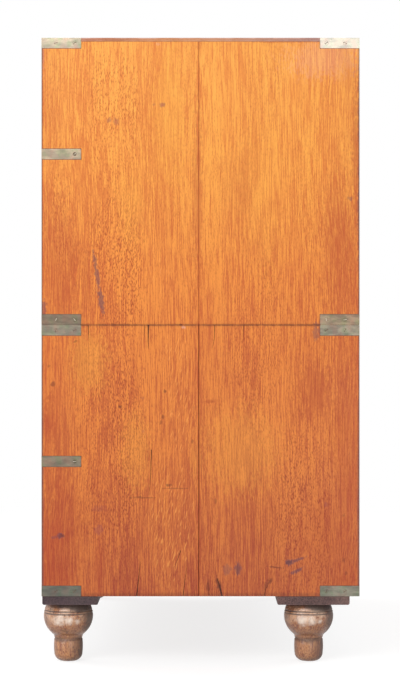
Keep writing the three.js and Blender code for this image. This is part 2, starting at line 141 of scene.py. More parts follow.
class Tree:
    """Adds nodes to one shader tree and joins them."""

    def __init__(self, tree: bpy.types.NodeTree) -> None:
        """Keeps the tree that the nodes go into."""
        self.tree = tree

    def node(self, kind: str, inputs: dict | None = None, **settings: object) -> Node:
        """Adds one node.

        Args:
            kind: the node's type, without ShaderNode in front.
            inputs: values or sockets for its inputs, by name or number.
            settings: values for the node's own settings.

        Returns:
            The new node.
        """
        made = self.tree.nodes.new("ShaderNode" + kind)
        for name, setting in settings.items():
            setattr(made, name, setting)
        self.fill(made, inputs or {})
        return made

    def fill(self, node: Node, inputs: dict) -> None:
        """Joins sockets to a node's inputs, or sets their values.

        Args:
            node: the node.
            inputs: a socket or value for each input, by name or number.
        """
        for name, value in inputs.items():
            if isinstance(value, Socket):
                self.tree.links.new(value, node.inputs[name])
            else:
                node.inputs[name].default_value = value

    def math(self, operation: str, *values: Value, clamp: bool = False) -> Socket:
        """One sum of numbers, by the Math node's operation, kept from 0 to 1 where it is clamped."""
        inputs = dict(enumerate(values))
        return self.node("Math", inputs, operation=operation, use_clamp=clamp).outputs[0]

    def times(self, *values: Value) -> Socket:
        """The product of numbers."""
        return reduce(lambda product, value: self.math("MULTIPLY", product, value), values)

    def most(self, *values: Value) -> Socket:
        """The greatest of numbers."""
        return reduce(lambda greatest, value: self.math("MAXIMUM", greatest, value), values)

    def minus(self, first: Value, second: Value) -> Socket:
        """The first number less the second."""
        return self.math("SUBTRACT", first, second)

    def size(self, value: Value) -> Socket:
        """A number without its sign."""
        return self.math("ABSOLUTE", value)

    def gap(self, first: Value, second: Value) -> Socket:
        """How far apart two numbers are."""
        return self.size(self.minus(first, second))

    def scaled(self, value: Value, factor: Value, offset: Value) -> Socket:
        """A number times a factor, with an offset added."""
        return self.math("MULTIPLY_ADD", value, factor, offset)

    def varied(self, middle: float, cloud: Socket, change: float) -> Socket:
        """A number that a noise moves up and down from its middle, by the change in all."""
        return self.scaled(cloud, change, middle - change / 2)

    def vector(self, operation: str, *values: Value) -> Socket:
        """Works out one sum of vectors.

        Args:
            operation: the Vector Math node's operation.
            values: its vectors or sockets.

        Returns:
            The result's socket, which is a number for a length or a dot product.
        """
        made = self.node("VectorMath", dict(enumerate(values)), operation=operation)
        single = operation in ("LENGTH", "DOT_PRODUCT")
        return made.outputs["Value" if single else "Vector"]

    def position(self) -> Socket:
        """The place on the object, in its own coordinates."""
        return self.node("TexCoord").outputs["Object"]

    def outward(self) -> list[Socket]:
        """The X, Y and Z of the way that the surface faces."""
        return self.split(self.node("TexCoord").outputs["Normal"])

    def split(self, vector: Socket) -> list[Socket]:
        """The X, Y and Z of a vector."""
        return list(self.node("SeparateXYZ", {0: vector}).outputs)

    def combined(self, *parts: Value) -> Socket:
        """A vector from its X, Y and Z."""
        return self.node("CombineXYZ", dict(enumerate(parts))).outputs[0]

    def turned(self, spot: Socket, grain: Grain) -> Socket:
        """The same place with the grain's direction on its Z."""
        parts = self.split(spot)
        return self.combined(*(parts[index] for index in grain.value))

    def leaning(self, spot: Socket, lean: Value) -> Socket:
        """The same place turned about X by an angle."""
        turn = {"Vector": spot, "Angle": lean}
        return self.node("VectorRotate", turn, rotation_type="X_AXIS").outputs[0]

    def noise(self, spot: Socket, cloud: Cloud) -> Socket:
        """A noise from 0 to 1, about 0.5 on average.

        Args:
            spot: the place.
            cloud: what the noise is like.

        Returns:
            The noise's socket.
        """
        scaled = self.vector("MULTIPLY", spot, cloud.stretch)
        inputs = {"Vector": scaled, "Scale": 1.0, "Detail": cloud.detail, "Roughness": cloud.roughness}
        return self.node("TexNoise", inputs).outputs[0]

    def ease(self, value: Value, start: Value, end: Value) -> Socket:
        """0 at the start and 1 at the end, with a soft change between them."""
        inputs = {"Value": value, "From Min": start, "From Max": end}
        return self.node("MapRange", inputs, interpolation_type="SMOOTHSTEP").outputs["Result"]

    def mix(self, share: Value, first: Value, second: Value, blend: str = "MIX") -> Socket:
        """Two colours mixed, where the share is how much of the second shows."""
        inputs = {0: share, 6: first, 7: second}
        return self.node("Mix", inputs, data_type="RGBA", blend_type=blend).outputs[2]

    def over(self, colour: Value, coat: Value, mask: Value, share: Value) -> Socket:
        """The colour with a coat laid over it where the mask is, as dense as the share."""
        return self.mix(self.times(mask, share), colour, coat)

    def tinted(self, colour: Value, tint: Value, share: Value = 1.0) -> Socket:
        """The colour multiplied by a tint."""
        return self.mix(share, colour, tint, "MULTIPLY")

    def ramp(self, value: Socket, stops: Stops) -> Socket:
        """Colours between named stops.

        Args:
            value: the place between the stops.
            stops: each stop's place and colour.

        Returns:
            The colour's socket.
        """
        made = self.node("ValToRGB", {0: value})
        elements = made.color_ramp.elements
        while len(elements) < len(stops):
            elements.new(1.0)
        for element, (place, colour) in zip(elements, stops):
            element.position = place
            element.color = colour
        return made.outputs["Color"]

    def bump(self, height: Socket, distance: float) -> Socket:
        """The normal of a surface with fine relief of that distance in metres."""
        inputs = {"Height": height, "Distance": distance, "Strength": 1.0}
        return self.node("Bump", inputs).outputs["Normal"]


def emptied(data: bpy.types.Material | bpy.types.World) -> Tree:
    """Clears the nodes of a new material or world.

    Args:
        data: the material or world.

    Returns:
        Its tree, ready for new nodes.
    """
    data.use_nodes = True
    data.node_tree.nodes.clear()
    return Tree(data.node_tree)


class Effect:
    """A shader effect that several finishes share, as a node group with named sockets."""

    name: ClassVar[str]
    takes: ClassVar[dict[str, SocketKind]]
    gives: ClassVar[dict[str, SocketKind]]

    def build(self, tree: Tree, given: dict[str, Socket]) -> dict[str, Socket]:
        """Makes the group's nodes and returns what it gives, by name."""
        raise NotImplementedError

    def group(self) -> bpy.types.NodeTree:
        """The node group, made the first time it is asked for.

        Returns:
            The group, with its named sockets.
        """
        made = bpy.data.node_groups.get(self.name)
        if made:
            return made
        made = bpy.data.node_groups.new(self.name, "ShaderNodeTree")
        for names, way in ((self.takes, "INPUT"), (self.gives, "OUTPUT")):
            for name, kind in names.items():
                made.interface.new_socket(name, in_out=way, socket_type=kind.value)
        entry = made.nodes.new("NodeGroupInput")
        given = {name: entry.outputs[name] for name in self.takes}
        tree = Tree(made)
        tree.fill(made.nodes.new("NodeGroupOutput"), self.build(tree, given))
        return made

    def place(self, tree: Tree, *values: Value) -> dict[str, Socket]:
        """Puts the group into a material.

        Args:
            tree: the material's tree.
            values: its inputs, in the order that it takes them.

        Returns:
            What it gives, by name.
        """
        made = tree.node("Group", node_tree=self.group())
        tree.fill(made, dict(zip(self.takes, values)))
        return {name: made.outputs[name] for name in self.gives}


class TimberEffect(Effect):
    """Streaks, bands and open pores of a straight-grained hardwood, running along Z."""

    name = "timber"
    takes = {
        "Vector": SocketKind.VECTOR,
        "Seed": SocketKind.VALUE,
        "Pale": SocketKind.COLOUR,
        "Deep": SocketKind.COLOUR,
        "Pores": SocketKind.VALUE,
        "Fineness": SocketKind.VALUE,
    }
    gives = {"Color": SocketKind.COLOUR, "Pore Mask": SocketKind.VALUE, "Height": SocketKind.VALUE}

    bend: ClassVar[Cloud] = Cloud((5.0, 5.0, 2.4), 1.0)
    band: ClassVar[Cloud] = Cloud((15.0, 15.0, 1.6), 3.0)
    streak: ClassVar[Cloud] = Cloud((150.0, 150.0, 7.0), 4.0, 0.6)
    fibre: ClassVar[Cloud] = Cloud((640.0, 640.0, 24.0), 3.0, 0.6)
    pore: ClassVar[Cloud] = Cloud((700.0, 700.0, 230.0), 1.0)
    patch: ClassVar[Cloud] = Cloud((24.0, 24.0, 6.5), 1.0)
    seed_steps: ClassVar[Triple] = (1.7, 0.9, 3.1)
    sway_reach: ClassVar[float] = 0.036
    band_weight: ClassVar[float] = 0.9
    streak_weight: ClassVar[float] = 0.7
    fibre_weight: ClassVar[float] = 2.0
    dash_weight: ClassVar[float] = 1.1
    flow_band: ClassVar[Band] = (1.455, 2.145)
    crowding: ClassVar[Band] = (-0.26, 0.71)
    pore_edge: ClassVar[float] = 0.1
    pore_tint: ClassVar[Colour] = (0.74, 0.6, 0.55, 1.0)
    fibre_height: ClassVar[float] = 0.3
    pore_depth: ClassVar[float] = 0.7

    def build(self, tree: Tree, given: dict[str, Socket]) -> dict[str, Socket]:
        """Makes the nodes of the wood.

        Args:
            tree: the group's tree.
            given: the group's inputs, by name.

        Returns:
            What the group gives, by name.
        """
        seed = tree.combined(given["Seed"], given["Seed"], given["Seed"])
        spot = tree.vector("ADD", given["Vector"], tree.vector("MULTIPLY", seed, self.seed_steps))
        sway = tree.varied(0.0, tree.noise(spot, self.bend), self.sway_reach)
        spot = tree.vector("ADD", spot, tree.combined(sway, sway, 0.0))
        streak = tree.noise(spot, self.streak)
        fibre = tree.noise(spot, self.fibre)
        opening = tree.noise(tree.vector("MULTIPLY", spot, given["Fineness"]), self.pore)
        dashes = tree.times(tree.minus(opening, 0.5), given["Pores"])
        flow = tree.scaled(fibre, self.fibre_weight, tree.times(streak, self.streak_weight))
        flow = tree.scaled(dashes, self.dash_weight, flow)
        flow = tree.scaled(tree.noise(spot, self.band), self.band_weight, flow)
        colour = tree.mix(tree.ease(flow, *self.flow_band), given["Pale"], given["Deep"])
        crowd = tree.scaled(tree.noise(spot, self.patch), *self.crowding)
        mask = tree.ease(opening, crowd, tree.math("ADD", crowd, self.pore_edge))
        colour = tree.over(colour, tree.tinted(colour, self.pore_tint), mask, given["Pores"])
        height = tree.scaled(fibre, self.fibre_height, tree.times(mask, -self.pore_depth))
        return {"Color": colour, "Pore Mask": mask, "Height": height}


class EdgeEffect(Effect):
    """A mask of the arrises, broken up as wear is."""

    name = "edge_wear"
    takes = {"Vector": SocketKind.VECTOR, "Radius": SocketKind.VALUE}
    gives = {"Mask": SocketKind.VALUE}

    chips: ClassVar[Cloud] = Cloud((70.0, 70.0, 70.0), 3.0)
    chip_band: ClassVar[Band] = (0.34, 0.62)
    turn_band: ClassVar[Band] = (0.998, 0.82)

    def build(self, tree: Tree, given: dict[str, Socket]) -> dict[str, Socket]:
        """Makes the nodes of the worn arrises.

        Args:
            tree: the group's tree.
            given: the group's inputs, by name.

        Returns:
            What the group gives, by name.
        """
        rounded_off = tree.node("Bevel", {"Radius": given["Radius"]}, samples=4).outputs[0]
        flat = tree.node("NewGeometry").outputs["Normal"]
        turn = tree.ease(tree.vector("DOT_PRODUCT", rounded_off, flat), *self.turn_band)
        broken = tree.ease(tree.noise(given["Vector"], self.chips), *self.chip_band)
        return {"Mask": tree.math("MULTIPLY", turn, broken, clamp=True)}


class MarkEffect(Effect):
    """The mask of one mark on an upright face: an oval with a ragged edge, leaning from upright."""

    name = "mark"
    takes = {
        "Vector": SocketKind.VECTOR,
        "Centre": SocketKind.VECTOR,
        "Size": SocketKind.VECTOR,
        "Lean": SocketKind.VALUE,
        "Ragged": SocketKind.VALUE,
    }
    gives = {"Mask": SocketKind.VALUE}

    ragging: ClassVar[Cloud] = Cloud((330.0, 330.0, 170.0), 3.0)
    edge_band: ClassVar[Band] = (1.15, 0.45)

    def build(self, tree: Tree, given: dict[str, Socket]) -> dict[str, Socket]:
        """Makes the nodes of the mark.

        Args:
            tree: the group's tree.
            given: the group's inputs, by name.

        Returns:
            What the group gives, by name.
        """
        away = tree.vector("SUBTRACT", given["Vector"], given["Centre"])
        flat = tree.vector("MULTIPLY", away, (0.0, 1.0, 1.0))
        leaning = tree.leaning(flat, given["Lean"])
        reach = tree.vector("LENGTH", tree.vector("DIVIDE", leaning, given["Size"]))
        rag = tree.minus(tree.noise(given["Vector"], self.ragging), 0.5)
        edge = tree.scaled(rag, given["Ragged"], reach)
        return {"Mask": tree.ease(edge, *self.edge_band)}


class TarnishEffect(Effect):
    """Old brass: rubbed and dull in clouds, with greenish and pinkish tints and fine pitting."""

    name = "tarnish"
    takes = {"Vector": SocketKind.VECTOR, "Base": SocketKind.COLOUR, "Contrast": SocketKind.VALUE}
    gives = {"Color": SocketKind.COLOUR, "Dullness": SocketKind.VALUE, "Height": SocketKind.VALUE}

    cloud: ClassVar[Cloud] = Cloud((46.0, 46.0, 130.0), 4.0, 0.6)
    tint_cloud: ClassVar[Cloud] = Cloud((75.0, 75.0, 60.0))
    pit: ClassVar[Cloud] = Cloud((900.0, 900.0, 900.0))
    dull_band: ClassVar[Band] = (0.34, 0.66)
    dull_share: ClassVar[float] = 0.4
    pit_band: ClassVar[Band] = (0.62, 0.74)
    pit_share: ClassVar[float] = 0.35
    pit_colour: ClassVar[Colour] = (0.05, 0.045, 0.04, 1.0)
    bright: ClassVar[Colour] = (1.14, 1.12, 1.08, 1.0)
    dull: ClassVar[Colour] = (0.72, 0.73, 0.76, 1.0)
    tints: ClassVar[tuple[tuple[Colour, Band], ...]] = (
        ((0.86, 1.0, 0.88, 1.0), (0.5, 0.66)),
        ((1.1, 0.94, 0.94, 1.0), (0.5, 0.34)),
    )
    cloud_height: ClassVar[float] = 0.25
    pit_depth: ClassVar[float] = 0.6

    def build(self, tree: Tree, given: dict[str, Socket]) -> dict[str, Socket]:
        """Makes the nodes of the brass.

        Args:
            tree: the group's tree.
            given: the group's inputs, by name.

        Returns:
            What the group gives, by name.
        """
        spot = given["Vector"]
        dullness = tree.ease(tree.noise(spot, self.cloud), *self.dull_band)
        duller = tree.minus(dullness, 0.5)
        share = tree.math("MULTIPLY_ADD", duller, given["Contrast"], self.dull_share, clamp=True)
        rubbed = tree.tinted(given["Base"], self.bright)
        colour = tree.mix(share, rubbed, tree.tinted(given["Base"], self.dull))
        place = tree.noise(spot, self.tint_cloud)
        for tint, band in self.tints:
            colour = tree.tinted(colour, tint, tree.ease(place, *band))
        pits = tree.ease(tree.noise(spot, self.pit), *self.pit_band)
        colour = tree.over(colour, self.pit_colour, pits, self.pit_share)
        height = tree.scaled(dullness, self.cloud_height, tree.times(pits, -self.pit_depth))
        return {"Color": colour, "Dullness": dullness, "Height": height}


TIMBER = TimberEffect()
EDGES = EdgeEffect()
MARK = MarkEffect()
TARNISH = TarnishEffect()


@dataclass(frozen=True)
class Finish:
    """The finish of one kind of surface."""

    name: str

    def dress(self, tree: Tree, shader: Node) -> None:
        """Joins the finish's nodes to the shader."""
        raise NotImplementedError

    def material(self) -> bpy.types.Material:
        """The material, made the first time it is asked for.

        Returns:
            The material.
        """
        made = bpy.data.materials.get(self.name)
        if made:
            return made
        made = bpy.data.materials.new(self.name)
        tree = emptied(made)
        shader = tree.node("BsdfPrincipled")
        tree.node("OutputMaterial", {"Surface": shader.outputs[0]})
        self.dress(tree, shader)
        return made


@dataclass(frozen=True)
class BoardFinish(Finish):
    """Polished or bare boards, with worn arrises."""

    pale: Colour
    deep: Colour
    worn: Colour
    grain: Grain
    seed: float = 0.0
    pores: float = 0.8
    roughness: float = 0.45
    relief: float = 0.0003
    wear_radius: float = 0.0025
    wear: float = 0.6
    fineness: float = 1.9
    dust: float = 0.0
    dust_colour: Colour = paint(120, 104, 92)
    specular: float = 0.35

    dirt_cloud: ClassVar[Cloud] = Cloud((16.0, 16.0, 16.0), 4.0, 0.6)
    dirt_band: ClassVar[Band] = (0.42, 0.7)
    gloss_cloud: ClassVar[Cloud] = Cloud((22.0, 22.0, 22.0), 3.0)
    gloss_change: ClassVar[float] = 0.24
    pore_dullness: ClassVar[float] = 0.2

    def timber(self, tree: Tree, spot: Socket) -> dict[str, Socket]:
        """The wood itself: its colour, pores and height."""
        spot = tree.turned(spot, self.grain)
        return TIMBER.place(tree, spot, self.seed, self.pale, self.deep, self.pores, self.fineness)

    def edged(self, tree: Tree, spot: Socket, colour: Socket) -> Socket:
        """The colour of the board's edges, which is the board's own here."""
        return colour

    def dress(self, tree: Tree, shader: Node) -> None:
        """Joins the finish's nodes to the shader.

        Args:
            tree: the material's tree.
            shader: the material's shader.
        """
        spot = tree.position()
        wood = self.timber(tree, spot)
        wear = EDGES.place(tree, spot, self.wear_radius)["Mask"]
        colour = tree.over(wood["Color"], self.worn, wear, self.wear)
        dirt = tree.ease(tree.noise(spot, self.dirt_cloud), *self.dirt_band)
        colour = tree.over(colour, self.dust_colour, dirt, self.dust)
        colour = self.edged(tree, spot, colour)
        gloss = tree.varied(self.roughness, tree.noise(spot, self.gloss_cloud), self.gloss_change)
        roughness = tree.math("MULTIPLY_ADD", wood["Pore Mask"], self.pore_dullness, gloss, clamp=True)
        shader.inputs["Specular IOR Level"].default_value = self.specular
        normal = tree.bump(wood["Height"], self.relief)
        tree.fill(shader, {"Base Color": colour, "Roughness": roughness, "Normal": normal})


@dataclass(frozen=True)
class TopFinish(BoardFinish):
    """The top board, with thin edges that are browner to the front and greyer to the back."""

    edge_share: float = 0.8
    # The colour of the painted highlight along the edges' upper arris.
    lip: Colour = paint(216, 178, 164)
    lip_drop: float = 0.0022
    lip_highlight_share: float = 0.7
    edge_stops: Stops = (
        (0.15, paint(181, 114, 88)),
        (0.4, paint(208, 140, 93)),
        (0.62, paint(198, 143, 116)),
        (0.85, paint(175, 136, 131)),
    )

    lip_cloud: ClassVar[Cloud] = Cloud((30.0, 30.0, 30.0), 3.0)
    lip_band: ClassVar[Band] = (0.4, 0.6)
    lip_core: ClassVar[float] = 0.3
    upright_band: ClassVar[Band] = (0.75, 0.4)

    def edged(self, tree: Tree, spot: Socket, colour: Socket) -> Socket:
        """Lays the board's upright edges over its colour, with a painted highlight along their upper
        arris.

        Args:
            tree: the material's tree.
            spot: the place.
            colour: the colour so far.

        Returns:
            The new colour.
        """
        _, back, up = tree.split(spot)
        edge = tree.ramp(tree.scaled(back, 0.5 / HALF_DEPTH, 0.5), self.edge_stops)
        broken = tree.ease(tree.noise(spot, self.lip_cloud), *self.lip_band)
        # A painted highlight along the edges' upper arris, broken up.
        lip = tree.ease(tree.minus(TOP, up), self.lip_drop, self.lip_drop * self.lip_core)
        lip = tree.times(lip, broken)
        edge = tree.over(edge, self.lip, lip, self.lip_highlight_share)
        upright = tree.ease(tree.size(tree.outward()[2]), *self.upright_band)
        return tree.over(colour, edge, upright, self.edge_share)


@dataclass(frozen=True)
class Spot:
    """An oval place on the side, in millimetres across and up: its middle, half its size, and its lean."""

    across: float
    up: float
    wide: float
    tall: float
    lean: float = 0.0
    strength: float = 1.0

    def mask(self, tree: Tree, vector: Socket, ragged: float) -> Socket:
        """Where the spot lies.

        Args:
            tree: the material's tree.
            vector: the place on the object.
            ragged: how ragged its edge is.

        Returns:
            The mask's socket.
        """
        centre = (0.0, self.across * MM, self.up * MM)
        size = (1.0, self.wide * MM, self.tall * MM)
        mark = MARK.place(tree, vector, centre, size, math.radians(self.lean), ragged)
        return tree.times(mark["Mask"], self.strength)


def cover(tree: Tree, vector: Socket, spots: Iterable[Spot], ragged: float) -> Socket:
    """The masks of one or more spots, joined."""
    return tree.most(*(spot.mask(tree, vector, ragged) for spot in spots))


@dataclass(frozen=True)
class SideFinish(Finish):
    """A side of two upright boards: paler and yellower to the top, darker and redder to the bottom, partly
    the wood's own tone and partly painted light from above.
    """

    marks: dict[Stain, tuple[Spot, ...]]
    porous: tuple[Spot, ...]
    flecked: tuple[Spot, ...]
    front_seed: float
    rear_seed: float
    joint: float = -0.0026
    roughness: float = 0.46
    relief: float = 0.00025
    specular: float = 0.3
    fineness: float = 1.0
    few_pores: float = 0.3
    fleck: Colour = paint(250, 168, 84)
    # Colours by height: partly the wood's own tone, partly painted light from above, paler to the top.
    pale_stops: Stops = (
        (0.12, paint(205, 113, 56)),
        (0.33, paint(227, 132, 58)),
        (0.5, paint(232, 137, 58)),
        (0.62, paint(240, 147, 61)),
        (0.8, paint(251, 168, 71)),
        (0.96, paint(254, 175, 78)),
    )
    deep_stops: Stops = (
        (0.12, paint(163, 70, 43)),
        (0.33, paint(185, 89, 44)),
        (0.5, paint(193, 93, 44)),
        (0.62, paint(204, 102, 45)),
        (0.8, paint(221, 123, 52)),
        (0.96, paint(228, 130, 57)),
    )
    red: Colour = paint(186, 74, 40)
    # The dark line along the front and back arrises: painted shade where the rounded edges turn from the
    # light.
    outline: Colour = paint(86, 66, 68)
    # The dark colour near the split, the base and the top, and of the painted shade in the cracks.
    grime: Colour = paint(74, 36, 28)
    # Heights where the side is darker, with reach and share; at the split this is painted shade in the gap
    # between the sections.
    dark_levels: tuple[Triple, ...] = (
        (SPLIT, 0.0045, 0.2),
        (SPLIT, 0.0012, 0.8),
        (BASE, 0.008, 0.4),
        (TOP, 0.006, 0.3),
    )

    mark_ragging: ClassVar[float] = 2.2
    pore_ragging: ClassVar[float] = 0.8
    fleck_ragging: ClassVar[float] = 0.6
    fleck_lean: ClassVar[float] = math.radians(14.0)
    fleck_cloud: ClassVar[Cloud] = Cloud((430.0, 430.0, 62.0), 1.0)
    fleck_band: ClassVar[Band] = (0.56, 0.72)
    breakup: ClassVar[Cloud] = Cloud((60.0, 60.0, 14.0), 4.0, 0.6)
    dark_level_cloud: ClassVar[Cloud] = Cloud((150.0, 150.0, 150.0), 3.0)
    dark_level_band: ClassVar[Band] = (0.35, 0.55)
    least_darkening: ClassVar[float] = 0.55
    dark_level_core: ClassVar[float] = 0.3
    red_reach: ClassVar[float] = 0.06
    red_band: ClassVar[Band] = (0.3, 0.75)
    red_share: ClassVar[float] = 0.4
    face_band: ClassVar[Band] = (0.2, 0.6)
    rim: ClassVar[float] = 0.0004
    rim_ragging: ClassVar[float] = 0.005
    rim_share: ClassVar[float] = 0.8
    low_band: ClassVar[Band] = (0.48, 0.3)
    low_rim: ClassVar[float] = 0.0016
    joint_band: ClassVar[Band] = (0.3, 0.6)
    joint_reddening: ClassVar[tuple[Band, ...]] = ((0.005, 0.22), (0.0012, 0.5))
    crack_mouth: ClassVar[Band] = (0.0002, 0.0008)
    crack_floor: ClassVar[Band] = (0.0034, 0.003)
    crack_share: ClassVar[float] = 0.9
    gloss_cloud: ClassVar[Cloud] = Cloud((18.0, 18.0, 9.0), 3.0)
    gloss_change: ClassVar[float] = 0.2

    def boards(self, tree: Tree, spot: Socket, parts: list[Socket]) -> dict[str, Socket]:
        """The wood of the two boards.

        Args:
            tree: the material's tree.
            spot: the place.
            parts: its X, Y and Z.

        Returns:
            The boards' colour, pores and height.
        """
        height = tree.math("DIVIDE", parts[2], TOP)
        # Paler to the top: partly painted light from above.
        pale = tree.ramp(height, self.pale_stops)
        deep = tree.ramp(height, self.deep_stops)
        pores = tree.most(cover(tree, spot, self.porous, self.pore_ragging), self.few_pores)
        front, rear = (
            TIMBER.place(tree, spot, seed, pale, deep, pores, self.fineness)
            for seed in (self.front_seed, self.rear_seed)
        )
        behind = tree.math("GREATER_THAN", parts[1], self.joint)
        wood = {name: tree.mix(behind, front[name], rear[name]) for name in front}
        flecks = tree.noise(tree.leaning(spot, self.fleck_lean), self.fleck_cloud)
        flecked = cover(tree, spot, self.flecked, self.fleck_ragging)
        wood["Color"] = tree.over(wood["Color"], self.fleck, tree.ease(flecks, *self.fleck_band), flecked)
        return wood

    def marked(self, tree: Tree, spot: Socket, colour: Socket) -> Socket:
        """Lays the marks over the wood, one stain after another.

        Args:
            tree: the material's tree.
            spot: the place.
            colour: the wood's colour.

        Returns:
            The new colour.
        """
        for stain in Stain:
            spots = self.marks.get(stain)
            if spots:
                tone, share = stain.value
                mask = cover(tree, spot, spots, self.mark_ragging)
                colour = tree.over(colour, tone, mask, share)
        return colour

    def edged(self, tree: Tree, spot: Socket, parts: list[Socket], colour: Socket) -> Socket:
        """Reddens the wood towards its edges and the joint, darkens it near the split, the base and the
        top, and paints shade along the arrises, in the split's gap and in the cracks.

        Args:
            tree: the material's tree.
            spot: the place.
            parts: its X, Y and Z.
            colour: the colour so far.

        Returns:
            The new colour.
        """
        across, back, up = parts
        breakup = tree.noise(spot, self.breakup)
        inset = tree.minus(HALF_DEPTH, tree.size(back))
        warm = tree.times(tree.ease(inset, self.red_reach, 0.0), tree.ease(breakup, *self.red_band))
        colour = tree.over(colour, self.red, warm, self.red_share)
        # Painted shade along the front and back arrises, wider towards the bottom.
        face = tree.ease(tree.size(tree.outward()[0]), *self.face_band)
        low = tree.times(tree.ease(up, *self.low_band), self.low_rim)
        rim = tree.scaled(breakup, self.rim_ragging, tree.math("ADD", low, self.rim))
        rim = tree.times(tree.ease(inset, rim, self.rim), face)
        colour = tree.over(colour, self.outline, rim, self.rim_share)
        # Darker near the split, the base and the top, in patches; at the split, painted shade in the gap.
        patchy = tree.ease(tree.noise(spot, self.dark_level_cloud), *self.dark_level_band)
        patchy = tree.scaled(patchy, 1 - self.least_darkening, self.least_darkening)
        for level, reach, share in self.dark_levels:
            near = tree.ease(tree.gap(up, level), reach, reach * self.dark_level_core)
            colour = tree.over(colour, self.grime, tree.times(near, patchy), share)
        line = tree.gap(back, self.joint)
        for reach, share in self.joint_reddening:
            near = tree.times(tree.ease(line, reach, 0.0), tree.ease(breakup, *self.joint_band))
            colour = tree.over(colour, self.red, near, share)
        # Painted shade inside the cracks.
        depth = tree.minus(HALF_WIDTH, tree.size(across))
        inside = tree.times(
            tree.ease(depth, *self.crack_mouth),
            tree.ease(depth, *self.crack_floor),
            tree.math("GREATER_THAN", inset, self.rim),
        )
        return tree.over(colour, self.grime, inside, self.crack_share)

    def dress(self, tree: Tree, shader: Node) -> None:
        """Joins the finish's nodes to the shader.

        Args:
            tree: the material's tree.
            shader: the material's shader.
        """
        spot = tree.position()
        parts = tree.split(spot)
        wood = self.boards(tree, spot, parts)
        colour = self.edged(tree, spot, parts, self.marked(tree, spot, wood["Color"]))
        gloss = tree.noise(spot, self.gloss_cloud)
        roughness = tree.varied(self.roughness, gloss, self.gloss_change)
        shader.inputs["Specular IOR Level"].default_value = self.specular
        normal = tree.bump(wood["Height"], self.relief)
        tree.fill(shader, {"Base Color": colour, "Roughness": roughness, "Normal": normal})


@dataclass(frozen=True)
class DrawerFinish(BoardFinish):
    """A drawer: a show-wood front with pale sides let into it by half-blind dovetails."""

    front: float = -0.2442
    base: float = 0.0
    thickness: float = 0.02
    lap: float = 0.006
    pitch: float = 0.042
    tail_half: float = 0.011
    tail_slope: float = 0.22
    front_join: float = 0.0003
    side_pale: Colour = paint(222, 180, 126)
    side_deep: Colour = paint(186, 138, 88)
    side_pores: float = 0.35
    side_seed_step: float = 3.0

    def tails(self, tree: Tree, parts: list[Socket]) -> Socket:
        """Where the sides' wood shows: behind the front, and in the tails that are let into it.

        Args:
            tree: the material's tree.
            parts: the place's X, Y and Z.

        Returns:
            The mask's socket.
        """
        behind = tree.minus(self.front + self.thickness + self.front_join, parts[1])
        rows = tree.math("DIVIDE", tree.minus(parts[2], self.base), self.pitch)
        off = tree.times(tree.gap(tree.math("FRACT", rows), 0.5), self.pitch)
        reach = tree.scaled(behind, self.tail_slope, self.tail_half)
        tail = tree.times(
            tree.math("LESS_THAN", off, reach),
            tree.math("GREATER_THAN", parts[1], self.front + self.lap),
            tree.math("GREATER_THAN", tree.size(tree.outward()[0]), 0.5),
        )
        return tree.most(tree.math("LESS_THAN", behind, 0.0), tail)

    def timber(self, tree: Tree, spot: Socket) -> dict[str, Socket]:
        """The wood of the front, and of the sides where it shows.

        Args:
            tree: the material's tree.
            spot: the place.

        Returns:
            The wood's colour, pores and height.
        """
        front = super().timber(tree, spot)
        along = tree.turned(spot, Grain.FORWARD)
        seed = self.seed + self.side_seed_step
        looks = (self.side_pale, self.side_deep, self.side_pores, self.fineness)
        side = TIMBER.place(tree, along, seed, *looks)
        share = self.tails(tree, tree.split(spot))
        return {name: tree.mix(share, front[name], side[name]) for name in front}


